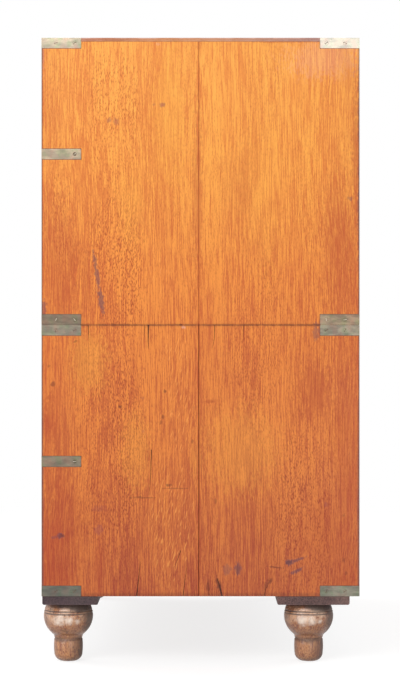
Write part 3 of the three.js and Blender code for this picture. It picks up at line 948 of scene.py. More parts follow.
@dataclass(frozen=True)
class FootFinish(Finish):
    """A turned foot: pale on the upper ball with painted highlights, tan on the shank, with painted shade
    under the bearer, at the neck and down its sides, darker in its rings, and grimy in patches.
    """

    seed: float = 0.0
    pale: Colour = paint(234, 194, 164)
    # The colour of the highlights painted on the ball.
    bare: Colour = paint(255, 238, 222)
    tan: Colour = paint(196, 134, 84)
    brown: Colour = paint(144, 76, 46)
    speck: Colour = paint(110, 56, 34)
    # The dark colour of the painted shade and shadow, the rings and the grime.
    grime: Colour = paint(46, 47, 49)
    neck: float = 0.0345
    rings: tuple[float, ...] = (0.0755, 0.0795)
    shank: float = 0.0222
    relief: float = 0.0004
    specular: float = 0.7
    wood_seed: float = 5.2
    pores: float = 0.7
    fineness: float = 1.4
    # Angle, height and size of each painted highlight on the ball.
    highlight_places: tuple[Triple, ...] = (
        (-18.0, 0.0664, 0.0098),
        (4.0, 0.0656, 0.0076),
        (25.0, 0.0644, 0.0042),
        (104.0, 0.068, 0.006),
        (171.0, 0.064, 0.007),
        (238.0, 0.067, 0.006),
    )

    seed_steps: ClassVar[Triple] = (0.37, 0.61, 0.0)
    highlight_ragging: ClassVar[float] = 2.0
    highlight_edge: ClassVar[Band] = (2.4, 0.8)
    highlight_share: ClassVar[float] = 0.85
    ring_band: ClassVar[Band] = (0.0019, 0.0004)
    ring_share: ClassVar[float] = 0.9
    collar: ClassVar[float] = 0.009
    collar_ragging: ClassVar[float] = 0.016
    collar_side: ClassVar[Band] = (BALL_RADIUS * -0.3, BALL_RADIUS * 0.5)
    throat_reach: ClassVar[float] = 0.0075
    throat_ragging: ClassVar[float] = 0.012
    throat_share: ClassVar[float] = 0.8
    shank_band: ClassVar[Band] = (0.046, 0.032)
    side_ragging: ClassVar[float] = 0.8
    side_share: ClassVar[float] = 0.9
    right_band: ClassVar[Band] = (0.5, 0.92)
    left_band: ClassVar[Band] = (-0.7, -1.0)
    left_share: ClassVar[float] = 0.5
    shade_band: ClassVar[Band] = (-0.3, 0.9)
    shade_share: ClassVar[float] = 0.62
    patch_band: ClassVar[Band] = (0.55, 0.7)
    patch_share: ClassVar[float] = 0.55
    rub_cloud: ClassVar[Cloud] = Cloud((46.0, 46.0, 36.0), 4.0, 0.62)
    rub_band: ClassVar[Band] = (0.34, 0.6)
    rub_share: ClassVar[Band] = (0.8, 0.1)
    ball_bottom: ClassVar[Band] = (0.056, 0.068)
    ball_top: ClassVar[Band] = (0.09, 0.08)
    aside_band: ClassVar[Band] = (BALL_RADIUS * 0.45, BALL_RADIUS * 0.85)
    aside_share: ClassVar[float] = 0.6
    speck_cloud: ClassVar[Cloud] = Cloud((230.0, 230.0, 170.0), 3.0, 0.6)
    speck_band: ClassVar[Band] = (0.55, 0.68)
    speck_share: ClassVar[float] = 0.75
    crust_cloud: ClassVar[Cloud] = Cloud((40.0, 40.0, 60.0), 5.0, 0.65)
    crust_height: ClassVar[float] = 0.6
    crumb_cloud: ClassVar[Cloud] = Cloud((170.0, 170.0, 170.0), 4.0, 0.6)
    shade_and_grime_share: ClassVar[float] = 0.85
    shade_and_grime_dullness: ClassVar[Band] = (0.4, 0.24)

    def painted_highlights(self, tree: Tree, spot: Socket, crumbs: Socket) -> Socket:
        """Where highlights are painted on the ball, at angles from its outward side.

        Args:
            tree: the material's tree.
            spot: the place.
            crumbs: the noise that breaks it up.

        Returns:
            The mask's socket.
        """
        masks = []
        for degrees, height, size in self.highlight_places:
            angle = math.radians(degrees)
            centre = (BALL_RADIUS * math.sin(angle), -BALL_RADIUS * math.cos(angle), height)
            away = tree.vector("LENGTH", tree.vector("SUBTRACT", spot, centre))
            away = tree.scaled(crumbs, size * self.highlight_ragging, away)
            masks.append(tree.ease(away, *(size * share for share in self.highlight_edge)))
        return tree.most(*masks)

    def dirt(self, tree: Tree, parts: list[Socket], crust: Socket) -> Socket:
        """The dark mask: painted shadow of the bearer across the ball's top, painted shade at the neck and
        down the sides, most on one, darker rings, and patches of grime.

        Args:
            tree: the material's tree.
            parts: the place's X, Y and Z.
            crust: the noise that breaks it up.

        Returns:
            The mask's socket.
        """
        across, _, up = parts
        loose = tree.minus(crust, 0.5)
        # Painted shadow of the bearer across the top of the ball, deeper to one side.
        drop = tree.scaled(loose, self.collar_ragging, tree.minus(FOOT_TOP, up))
        solid = tree.times(tree.ease(across, *self.collar_side), self.collar)
        under = tree.ease(drop, tree.math("ADD", solid, self.collar), solid)
        # Painted shade under the ball, at the neck.
        throat = tree.scaled(loose, self.throat_ragging, tree.gap(up, self.neck))
        throat = tree.ease(throat, self.throat_reach, 0.0)
        # Painted shade down the sides, most on one, and over one side of the shank.
        lower = tree.ease(up, *self.shank_band)
        width = tree.scaled(lower, self.shank - BALL_RADIUS, BALL_RADIUS)
        side = tree.scaled(loose, self.side_ragging, tree.math("DIVIDE", across, width))
        shade = tree.times(tree.ease(side, *self.shade_band), lower, self.shade_share)
        left = tree.times(tree.ease(side, *self.left_band), self.left_share)
        side = tree.most(tree.ease(side, *self.right_band), tree.most(left, shade))
        rings = tree.math("MINIMUM", *(tree.gap(up, ring) for ring in self.rings))
        return tree.most(
            under,
            tree.times(throat, self.throat_share),
            tree.times(side, self.side_share),
            tree.times(tree.ease(rings, *self.ring_band), self.ring_share),
            tree.times(tree.ease(crust, *self.patch_band), self.patch_share),
        )

    def dress(self, tree: Tree, shader: Node) -> None:
        """Joins the finish's nodes to the shader.

        Args:
            tree: the material's tree.
            shader: the material's shader.
        """
        place = tree.position()
        parts = tree.split(place)
        across, _, up = parts
        spot = tree.vector("ADD", place, tuple(step * self.seed for step in self.seed_steps))
        looks = (self.tan, self.brown, self.pores, self.fineness)
        wood = TIMBER.place(tree, spot, self.wood_seed, *looks)
        rubbed = tree.ease(tree.noise(spot, self.rub_cloud), *self.rub_band)
        ball = tree.times(tree.ease(up, *self.ball_bottom), tree.ease(up, *self.ball_top))
        aside = tree.ease(tree.size(across), *self.aside_band)
        ball = tree.times(ball, tree.scaled(aside, -self.aside_share, 1.0))
        colour = tree.over(wood["Color"], self.pale, rubbed, tree.scaled(ball, *self.rub_share))
        specks = tree.ease(tree.noise(spot, self.speck_cloud), *self.speck_band)
        colour = tree.over(colour, self.speck, specks, self.speck_share)
        crust = tree.noise(spot, self.crust_cloud)
        crumbs = tree.noise(spot, self.crumb_cloud)
        # Lays the painted highlights over the ball.
        colour = tree.over(colour, self.bare, self.painted_highlights(tree, place, crumbs), self.highlight_share)
        # Painted shade and shadow, darker rings and grime, laid over the wood.
        dirt = self.dirt(tree, parts, crust)
        colour = tree.over(colour, self.grime, dirt, self.shade_and_grime_share)
        roughness = tree.scaled(dirt, *self.shade_and_grime_dullness)
        shader.inputs["Specular IOR Level"].default_value = self.specular
        normal = tree.bump(tree.scaled(crust, self.crust_height, wood["Height"]), self.relief)
        tree.fill(shader, {"Base Color": colour, "Roughness": roughness, "Normal": normal})


@dataclass(frozen=True)
class BrassFinish(Finish):
    """Old brass, with a base colour that changes with the height, and is darker at the front; on the
    straps it is paler to the top, a painted reflection of light from above.
    """

    stops: Stops
    contrast: float = 0.8
    roughness: float = 0.4
    relief: float = 0.00012
    metal: float = 0.6
    front: Colour = WHITE
    # How much brighter the arrises are: wear, and a painted highlight.
    worn: Colour = (1.45, 1.42, 1.32, 1.0)
    wear_radius: float = 0.001

    front_band: ClassVar[Band] = (0.0, -0.15)
    dullness: ClassVar[float] = 0.2

    def dress(self, tree: Tree, shader: Node) -> None:
        """Joins the finish's nodes to the shader.

        Args:
            tree: the material's tree.
            shader: the material's shader.
        """
        spot = tree.position()
        _, back, up = tree.split(spot)
        # The base colour by height: on the straps, a painted reflection of light from above, paler to the
        # top.
        base = tree.ramp(tree.math("DIVIDE", up, TOP), self.stops)
        base = tree.mix(tree.ease(back, *self.front_band), base, tree.tinted(base, self.front))
        old = TARNISH.place(tree, spot, base, self.contrast)
        # Brighter arrises: wear, and a painted highlight along the edges.
        wear = EDGES.place(tree, spot, self.wear_radius)["Mask"]
        colour = tree.mix(wear, old["Color"], tree.tinted(old["Color"], self.worn))
        roughness = tree.scaled(old["Dullness"], self.dullness, self.roughness)
        shader.inputs["Metallic"].default_value = self.metal
        normal = tree.bump(old["Height"], self.relief)
        tree.fill(shader, {"Base Color": colour, "Roughness": roughness, "Normal": normal})


@dataclass(frozen=True)
class DarkFinish(Finish):
    """One dull tone with fine specks of a paler one: grime, dirt, painted shade, screw slots, a screw
    slot's painted glint, and old iron.
    """

    colour: Colour = paint(38, 32, 28)
    pale: Colour = paint(66, 58, 48)

    cloud: ClassVar[Cloud] = Cloud((700.0, 700.0, 700.0), 3.0)
    cloud_band: ClassVar[Band] = (0.4, 0.65)
    dullness: ClassVar[Band] = (0.3, 0.5)

    def dress(self, tree: Tree, shader: Node) -> None:
        """Joins the finish's nodes to the shader.

        Args:
            tree: the material's tree.
            shader: the material's shader.
        """
        cloud = tree.noise(tree.position(), self.cloud)
        colour = tree.mix(tree.ease(cloud, *self.cloud_band), self.colour, self.pale)
        tree.fill(shader, {"Base Color": colour, "Roughness": tree.scaled(cloud, *self.dullness)})


class Form:
    """The mesh of one piece while it is made."""

    def __init__(self) -> None:
        """Starts with an empty mesh."""
        self.mesh = bmesh.new()

    def slab(self, outline: Outline, low: float, high: float, place: Matrix, part: int = 0) -> None:
        """Adds a closed outline, drawn in XY and given a thickness along Z.

        Args:
            outline: the points of the outline.
            low: where it starts along Z.
            high: where it ends.
            place: where it goes.
            part: the number of its material.
        """
        rings = [self.ring(outline, z, place) for z in (low, high)]
        faces = [self.mesh.faces.new(reversed(rings[0])), self.mesh.faces.new(rings[1])]
        for face in faces + self.walls(*rings):
            face.material_index = part

    def frame(self, outer: Outline, inner: Outline, low: float, high: float, place: Matrix) -> None:
        """Adds a plate with a hole: two outlines with as many points, joined all round.

        Args:
            outer: the points of the outside.
            inner: the points of the hole.
            low: where it starts along Z.
            high: where it ends.
            place: where it goes.
        """
        outside = [self.ring(outer, z, place) for z in (low, high)]
        inside = [self.ring(inner, z, place) for z in (low, high)]
        rings = outside + inside[::-1]
        for first, second in zip(rings, rings[1:] + rings[:1]):
            self.walls(first, second)

    def ring(self, outline: Outline, height: float, place: Matrix) -> Ring:
        """The points of an outline at one height."""
        return [self.mesh.verts.new(place @ Vector((x, y, height))) for x, y in outline]

    def walls(self, first: Ring, second: Ring) -> list[bmesh.types.BMFace]:
        """Joins two closed rings of points with faces.

        Args:
            first: the points of one ring.
            second: as many points of the other.

        Returns:
            The faces.
        """
        rows = list(zip(first, second))
        pairs = zip(rows, rows[1:] + rows[:1])
        return [self.mesh.faces.new((a, c, d, b)) for (a, b), (c, d) in pairs]

    def skin(self, rings: Sequence[Sequence[Vector]], place: Matrix) -> None:
        """Adds a closed tube through rings of points, with flat ends.

        Args:
            rings: the rings, each with as many points.
            place: where it goes.
        """
        made = [[self.mesh.verts.new(place @ point) for point in ring] for ring in rings]
        for first, second in zip(made, made[1:]):
            self.walls(first, second)
        self.mesh.faces.new(reversed(made[0]))
        self.mesh.faces.new(made[-1])

    def lathe(self, profile: Outline, sides: int, place: Matrix) -> None:
        """Adds a turned shape.

        Args:
            profile: radius and height, from the bottom to the top.
            sides: how many points go round it.
            place: where it goes.
        """
        turns = [2 * math.pi * side / sides for side in range(sides)]
        rings = [[Vector((r * math.cos(a), r * math.sin(a), z)) for a in turns] for r, z in profile]
        self.skin(rings, place)

    def piece(self, name: str, finishes: Sequence[Finish], smooth: float = 0.0) -> Piece:
        """Turns the mesh into an object with its finishes.

        Args:
            name: the piece's name.
            finishes: its materials, by number.
            smooth: the sharpest corner that is shaded smooth, in degrees, or 0 for none.

        Returns:
            The new object.
        """
        bmesh.ops.recalc_face_normals(self.mesh, faces=self.mesh.faces)
        data = bpy.data.meshes.new(name)
        self.mesh.to_mesh(data)
        self.mesh.free()
        for finish in finishes:
            data.materials.append(finish.material())
        if smooth:
            data.shade_smooth()
            data.set_sharp_from_angle(angle=math.radians(smooth))
        made = bpy.data.objects.new(name, data)
        bpy.context.scene.collection.objects.link(made)
        return made


def circle(radius: float, sides: int, start: float = 0.0) -> Outline:
    """The points of a circle, from the one at the start angle."""
    angles = [start + 2 * math.pi * side / sides for side in range(sides)]
    return [(radius * math.cos(a), radius * math.sin(a)) for a in angles]


def rounded(width: float, height: float, radius: float, steps: int = 4) -> Outline:
    """The points of a rectangle with round corners.

    Args:
        width: its width.
        height: its height.
        radius: its corners' radius.
        steps: how many steps each corner has.

    Returns:
        The points.
    """
    points = []
    for corner, (x, y) in enumerate(((1, 1), (-1, 1), (-1, -1), (1, -1))):
        for step in range(steps + 1):
            angle = math.pi / 2 * (corner + step / steps)
            across = x * (width / 2 - radius) + radius * math.cos(angle)
            up = y * (height / 2 - radius) + radius * math.sin(angle)
            points.append((across, up))
    return points


def facing(spot: Vector, out: Vector, turn: float = 0.0) -> Matrix:
    """A place on a face, whose Z points out of it and which is turned about Z."""
    turned = out.to_track_quat("Z", "Y").to_matrix().to_4x4()
    return Matrix.Translation(spot) @ turned @ Matrix.Rotation(turn, 4, "Z")


def bevelled(piece: Piece, width: float, segments: int = 2, planar: bool = False) -> Piece:
    """Softens a piece's arrises.

    Args:
        piece: the object.
        width: the width of the softened arris.
        segments: how many faces it has.
        planar: whether flat faces made of triangles are joined first.

    Returns:
        The same object.
    """
    if planar:
        joined = piece.modifiers.new("flat faces", "DECIMATE")
        joined.decimate_type = "DISSOLVE"
        joined.angle_limit = FLAT
    bevel = piece.modifiers.new("soft arrises", "BEVEL")
    bevel.width = width
    bevel.segments = segments
    bevel.limit_method = "ANGLE"
    bevel.angle_limit = SHARP
    bevel.harden_normals = False
    return piece


def dressed(node: str, finish: Finish, arris: float) -> None:
    """Gives a carried-over node its finish and soft arrises.

    Args:
        node: the node's name.
        finish: its finish.
        arris: the width of its softened arrises.
    """
    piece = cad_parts[node]
    piece.data.materials.clear()
    piece.data.materials.append(finish.material())
    bevelled(piece, arris, planar=True)


def named(start: str = "", end: str = "") -> list[str]:
    """The nodes whose names start and end so, in order."""
    return [name for name in sorted(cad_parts) if name.startswith(start) and name.endswith(end)]


SIDE_MARKS = {
    Stain.RED: (
        Spot(-232.5, 380.0, 9.0, 40.0),
        Spot(-176.0, 590.0, 9.0, 56.0, strength=0.6),
        Spot(-183.0, 352.0, 13.0, 36.0, strength=0.5),
        Spot(-218.0, 620.0, 32.0, 120.0, strength=0.6),
        Spot(214.0, 640.0, 34.0, 130.0, strength=0.5),
        Spot(-103.0, 435.0, 9.0, 62.0, strength=0.4),
        Spot(-184.0, 461.0, 11.0, 60.0, strength=0.4),
        Spot(177.0, 422.0, 30.0, 52.0, strength=0.85),
        Spot(-5.0, 720.0, 9.0, 150.0, strength=0.6),
        Spot(-215.0, 200.0, 40.0, 110.0, strength=0.7),
        Spot(-226.0, 136.0, 34.0, 34.0, strength=0.9),
        Spot(190.0, 190.0, 50.0, 90.0, strength=0.5),
        Spot(226.0, 330.0, 26.0, 190.0, strength=0.6),
        Spot(240.0, 790.0, 7.0, 150.0, strength=0.8),
        Spot(-157.0, 160.0, 9.0, 52.0, strength=0.6),
        Spot(-158.0, 262.0, 14.0, 60.0, strength=0.35),
        Spot(52.0, 735.0, 26.0, 60.0, strength=0.22),
        Spot(226.0, 150.0, 30.0, 60.0, strength=0.5),
        Spot(154.5, 186.0, 4.0, 15.0, strength=0.9),
        Spot(12.0, 405.0, 17.0, 3.2, -3.0, 0.9),
        Spot(130.0, 959.4, 66.0, 1.8, strength=0.8),
    ),
    Stain.GOLD: (
        Spot(64.0, 330.0, 66.0, 76.0, strength=0.38),
        Spot(-50.0, 850.0, 30.0, 120.0, strength=0.55),
        Spot(90.0, 720.0, 46.0, 130.0, strength=0.3),
        Spot(-100.0, 330.0, 26.0, 70.0, strength=0.4),
        Spot(-172.0, 468.0, 34.0, 56.0, strength=0.5),
        Spot(-107.0, 705.0, 26.0, 66.0, strength=0.35),
        Spot(-6.0, 318.0, 12.0, 30.0, strength=0.3),
    ),
    Stain.BRUISE: (
        Spot(-58.6, 862.4, 3.9, 4.3, strength=0.95),
        Spot(-72.0, 863.0, 3.0, 3.0, strength=0.5),
        Spot(-140.4, 838.9, 5.5, 4.5, strength=0.8),
        Spot(-129.6, 837.4, 5.0, 6.5, strength=0.7),
        Spot(193.5, 247.0, 4.0, 5.0, strength=0.6),
        Spot(-88.5, 410.8, 3.0, 3.6, strength=0.45),
        Spot(-88.5, 358.9, 3.0, 3.6, strength=0.4),
        Spot(-156.5, 207.5, 7.0, 8.5, strength=0.6),
        Spot(-157.0, 240.0, 12.0, 5.5, strength=0.4),
    ),
    Stain.SCUFF: (
        Spot(-159.2, 598.0, 3.4, 40.0, -9.0, 0.75),
        Spot(-153.6, 562.0, 5.0, 24.0, -9.0, 0.85),
        Spot(-242.5, 550.0, 5.5, 14.0, strength=0.8),
        Spot(231.0, 717.2, 4.0, 5.5, strength=0.6),
        Spot(178.0, 514.0, 6.0, 14.0, strength=0.6),
        Spot(244.6, 690.0, 3.2, 90.0, strength=0.7),
        Spot(244.6, 850.0, 2.6, 60.0, strength=0.5),
        Spot(-216.0, 198.0, 6.0, 4.6, -10.0),
        Spot(-224.5, 196.2, 9.0, 2.4, -8.0, 0.6),
        Spot(137.0, 157.0, 9.0, 5.2, -18.0),
        Spot(149.0, 161.0, 15.0, 3.0, -20.0, 0.8),
        Spot(147.6, 143.8, 13.5, 3.4, -28.0, 0.85),
        Spot(40.9, 146.0, 8.0, 9.0, strength=0.5),
        Spot(57.5, 147.5, 6.4, 11.0, strength=0.75),
    ),
    Stain.SOOT: (
        Spot(-227.5, 432.1, 4.0, 4.0, strength=0.6),
        Spot(-54.6, 421.3, 2.8, 3.0, strength=0.7),
        Spot(-124.0, 396.7, 3.0, 3.4, strength=0.7),
        Spot(-57.6, 381.3, 2.4, 3.6, strength=0.6),
        Spot(-61.0, 373.0, 2.0, 4.0, 20.0, 0.4),
        Spot(-192.3, 498.0, 5.0, 1.8, -20.0, 0.5),
        Spot(-12.3, 344.0, 2.4, 3.0, strength=0.5),
        Spot(-234.0, 460.0, 2.6, 3.0, strength=0.45),
        Spot(23.2, 252.0, 2.0, 4.0, strength=0.4),
        Spot(-30.8, 523.2, 4.0, 2.0, strength=0.8),
        Spot(-135.0, 523.0, 5.0, 2.6, strength=0.5),
        Spot(-36.0, 271.3, 25.0, 1.0, strength=0.45),
        Spot(-90.0, 256.8, 20.0, 1.2, strength=0.5),
        Spot(220.4, 161.3, 3.0, 4.0, strength=0.45),
        Spot(224.0, 141.0, 2.4, 3.6, strength=0.5),
        Spot(219.5, 112.0, 2.6, 2.6, strength=0.5),
        Spot(221.0, 230.0, 2.4, 3.0, strength=0.4),
        Spot(108.5, 129.0, 3.0, 5.0, 30.0, 0.7),
        Spot(-49.3, 276.2, 4.5, 2.6, strength=0.65),
        Spot(-96.5, 257.8, 5.5, 2.2, strength=0.6),
        Spot(116.0, 149.6, 14.5, 1.6, 6.0, 0.6),
        Spot(28.0, 122.0, 4.2, 13.0, -16.0, 0.85),
        Spot(11.8, 120.0, 3.6, 11.0, -6.0, 0.5),
        Spot(101.0, 121.0, 3.6, 12.0, 24.0, 0.5),
        Spot(-238.0, 112.0, 7.0, 9.0, strength=0.5),
        Spot(-213.5, 198.4, 4.6, 2.6, -8.0, 0.55),
        Spot(136.0, 157.0, 7.0, 2.6, -20.0, 0.4),
        Spot(57.5, 146.0, 3.4, 8.0, strength=0.3),
    ),
    Stain.RUBBED: (
        Spot(-26.0, 519.8, 4.4, 2.8),
        Spot(-65.0, 956.0, 4.0, 2.4, strength=0.5),
        Spot(212.0, 948.0, 40.0, 14.0, strength=0.35),
        Spot(-243.5, 936.0, 3.0, 26.0, strength=0.5),
        Spot(190.0, 934.0, 66.0, 34.0, strength=0.4),
    ),
}
POROUS = (
    Spot(-134.0, 840.0, 50.0, 150.0, strength=0.8),
    Spot(-130.0, 600.0, 52.0, 170.0),
    Spot(-136.0, 350.0, 66.0, 240.0),
    Spot(-214.0, 690.0, 20.0, 120.0, strength=0.7),
    Spot(160.0, 240.0, 60.0, 190.0, strength=0.9),
    Spot(90.0, 480.0, 60.0, 200.0, strength=0.6),
)
FLECKED = (
    Spot(-44.0, 215.0, 44.0, 120.0, strength=0.55),
    Spot(-40.0, 470.0, 26.0, 50.0, strength=0.55),
    Spot(-30.0, 385.0, 24.0, 80.0, strength=0.5),
    Spot(-60.0, 615.0, 24.0, 56.0, strength=0.4),
    Spot(120.0, 880.0, 50.0, 60.0, strength=0.2),
)


@dataclass(frozen=True)
class Crack:
    """A crack in the side, in millimetres: where it runs, across and up, and how wide it opens."""

    points: tuple[tuple[float, float], ...]
    width: float = 1.2
    taper: float = 0.85

    def outline(self) -> Outline:
        """The crack's shape on the face: widest where it starts, and narrow at its end.

        Returns:
            The points of the shape.
        """
        left, right = [], []
        for index, (across, up) in enumerate(self.points):
            half = self.width / 2 * (1 - self.taper * index / (len(self.points) - 1)) * MM
            left.append((across * MM - half, up * MM))
            right.append((across * MM + half, up * MM))
        return left + right[::-1]


CRACKS = (
    Crack(((-80.2, 526.0), (-80.6, 505.0), (-80.4, 486.0)), 2.3),
    Crack(((-86.0, 526.0), (-86.4, 508.0), (-85.6, 496.0)), 0.8),
    Crack(((22.2, 526.0), (21.2, 502.0), (17.6, 485.0)), 1.0),
    Crack(((66.9, 526.0), (66.2, 510.0), (66.7, 497.0)), 0.8),
    Crack(((-173.0, 526.0), (-172.6, 512.0), (-171.8, 498.0)), 1.2),
    Crack(((-75.6, 331.0), (-76.6, 296.0), (-79.4, 260.0)), 1.3),
    Crack(((-98.8, 100.0), (-95.6, 129.0), (-92.6, 159.0)), 1.8),
    Crack(((-27.4, 100.0), (-24.4, 128.0), (-20.4, 156.0)), 1.1),
    Crack(((-30.4, 175.5), (-34.8, 163.0), (-40.2, 149.5)), 1.1),
    Crack(((34.4, 100.0), (30.6, 116.0), (25.4, 133.0)), 3.0),
    Crack(((13.4, 100.0), (12.9, 114.0), (12.2, 127.0)), 1.0),
    Crack(((97.0, 100.0), (100.4, 116.0), (107.5, 130.0)), 1.1),
)


@dataclass
class Carcass:
    """The two sections' boards: their finishes, their soft arrises, and the cracks in the seen side."""

    board_arris: float = 0.0007
    crack_depth: float = 0.0016
    crack_overrun: float = 0.001
    arrises: dict[str, float] = field(
        default_factory=lambda: {"side_right": 0.0009, "side_left": 0.0009, "top_board": 0.0013}
    )
    left_seed: int = 41
    left_mark_count: int = 7
    left_scales: tuple[tuple[Stain, Band], ...] = (
        (Stain.RED, (5.0, 12.0)),
        (Stain.BRUISE, (1.0, 1.0)),
        (Stain.SCUFF, (0.9, 2.0)),
    )
    left_across: Band = (-215.0, 215.0)
    left_up: Band = (130.0, 940.0)
    left_wide: Band = (2.5, 6.5)
    left_tall: Band = (2.5, 7.0)
    left_lean: Band = (-20.0, 20.0)
    left_strength: Band = (0.4, 0.9)
    # The top's worn arrises are near white: wear, and a painted highlight.
    top: BoardFinish = TopFinish(
        "top wood", paint(216, 132, 70), paint(158, 84, 46), paint(250, 218, 198), Grain.ACROSS,
        seed=7.3, pores=0.7, roughness=0.42, wear_radius=0.006, wear=0.9,
    )
    rail: BoardFinish = BoardFinish(
        "rail wood", paint(214, 128, 68), paint(168, 84, 48), paint(120, 66, 44), Grain.ACROSS,
        seed=2.9, roughness=0.42,
    )
    back: BoardFinish = BoardFinish(
        "back wood", paint(168, 112, 72), paint(116, 70, 46), paint(92, 62, 48), Grain.ACROSS,
        seed=11.7, pores=0.9, roughness=0.62, dust=0.4,
    )

    def other_marks(self) -> dict[Stain, tuple[Spot, ...]]:
        """Marks for the other side, from seeded draws.

        Returns:
            The spots of each stain.
        """
        draw = random.Random(self.left_seed)
        sizes = (self.left_across, self.left_up, self.left_wide, self.left_tall)
        limits = (*sizes, self.left_lean, self.left_strength)
        marks = {}
        for stain, (wider, taller) in self.left_scales:
            spots = []
            for _ in range(self.left_mark_count):
                across, up, wide, tall, lean, strength = (draw.uniform(*ends) for ends in limits)
                spots.append(Spot(across, up, wide * wider, tall * taller, lean, strength))
            marks[stain] = tuple(spots)
        return marks

    def build(self) -> int:
        """Dresses the boards.

        Returns:
            How many there are.
        """
        places = {"porous": POROUS, "flecked": FLECKED}
        seen = SideFinish("seen side wood", SIDE_MARKS, **places, front_seed=1.3, rear_seed=4.6)
        marks = self.other_marks()
        other = SideFinish("other side wood", marks, **places, front_seed=6.4, rear_seed=8.2)
        finishes = {
            "side_right": seen,
            "side_left": other,
            "top_board": self.top,
            "bottom_board": self.rail,
            "back": self.back,
            "dust_board": self.rail,
        }
        for section in ("upper", "lower"):
            for part, finish in finishes.items():
                node = f"{section}_{part}"
                if node == "lower_side_right":
                    self.crack(node, CRACKS)
                if node == "lower_top_board":
                    finish = self.rail
                dressed(node, finish, self.arrises.get(part, self.board_arris))
        dressed("upper_partition", self.rail, self.board_arris)
        return len(finishes) * 2 + 1

    def crack(self, node: str, cracks: Iterable[Crack]) -> None:
        """Cuts the cracks into a side with a hidden cutter that rides with it.

        Args:
            node: the side's node.
            cracks: its cracks.
        """
        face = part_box(node)[1].x
        form = Form()
        upright = Matrix(((0, 0, 1, 0), (1, 0, 0, 0), (0, 1, 0, 0), (0, 0, 0, 1)))
        for crack in cracks:
            form.slab(crack.outline(), face - self.crack_depth, face + self.crack_overrun, upright)
        cutter = form.piece("crack_cutter", [])
        cutter.hide_render = True
        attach(cutter, "lower_section")
        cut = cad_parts[node].modifiers.new("cracks", "BOOLEAN")
        cut.operation = "DIFFERENCE"
        cut.solver = "EXACT"
        cut.object = cutter


@dataclass
class Screw:
    """A countersunk screw head with a slot, standing just proud, with a dark ring of grime and painted
    shade round it, and a slot floor of painted shade, or a painted glint where its finish is pale.
    """

    radius: float = 0.0027
    slot: float = 0.0008
    lift: float = 0.0003
    dark_ring: float = 0.00025
    dark_ring_lift: float = 0.00006
    bed: float = 0.0008
    sides: int = 20
    arris: float = 0.00008
    floor_lift: float = 0.00012
    floor_length: float = 1.96
    floor_corner: float = 0.2

    def half(self) -> Outline:
        """The outline of the head on one side of the slot.

        Returns:
            The points.
        """
        start = math.asin(self.slot / 2 / self.radius)
        steps = self.sides // 2
        angles = [start + (math.pi - 2 * start) * step / steps for step in range(steps + 1)]
        return [(self.radius * math.cos(a), self.radius * math.sin(a)) for a in angles]

    def add(self, form: Form, place: Matrix) -> None:
        """Adds the head to a form, with its dark ring of grime and painted shade as part 1, and the floor
        of its slot, painted shade or a pale painted glint, as part 2.

        Args:
            form: the form.
            place: the middle of the head, with Z out of the face.
        """
        half = self.half()
        length = self.radius * self.floor_length
        floor = rounded(length, self.slot, self.slot * self.floor_corner, 1)
        # The slot's floor: a sheet of painted shade, or a painted glint where its finish is pale.
        form.slab(floor, -self.bed, self.floor_lift, place, 2)
        form.slab(half, -self.bed, self.lift, place)
        form.slab(half, -self.bed, self.lift, place @ Matrix.Rotation(math.pi, 4, "Z"))
        # A dark ring round the head: grime, and painted shade in the gap.
        ring = circle(self.radius + self.dark_ring, self.sides)
        form.slab(ring, -self.bed, self.dark_ring_lift, place, 1)


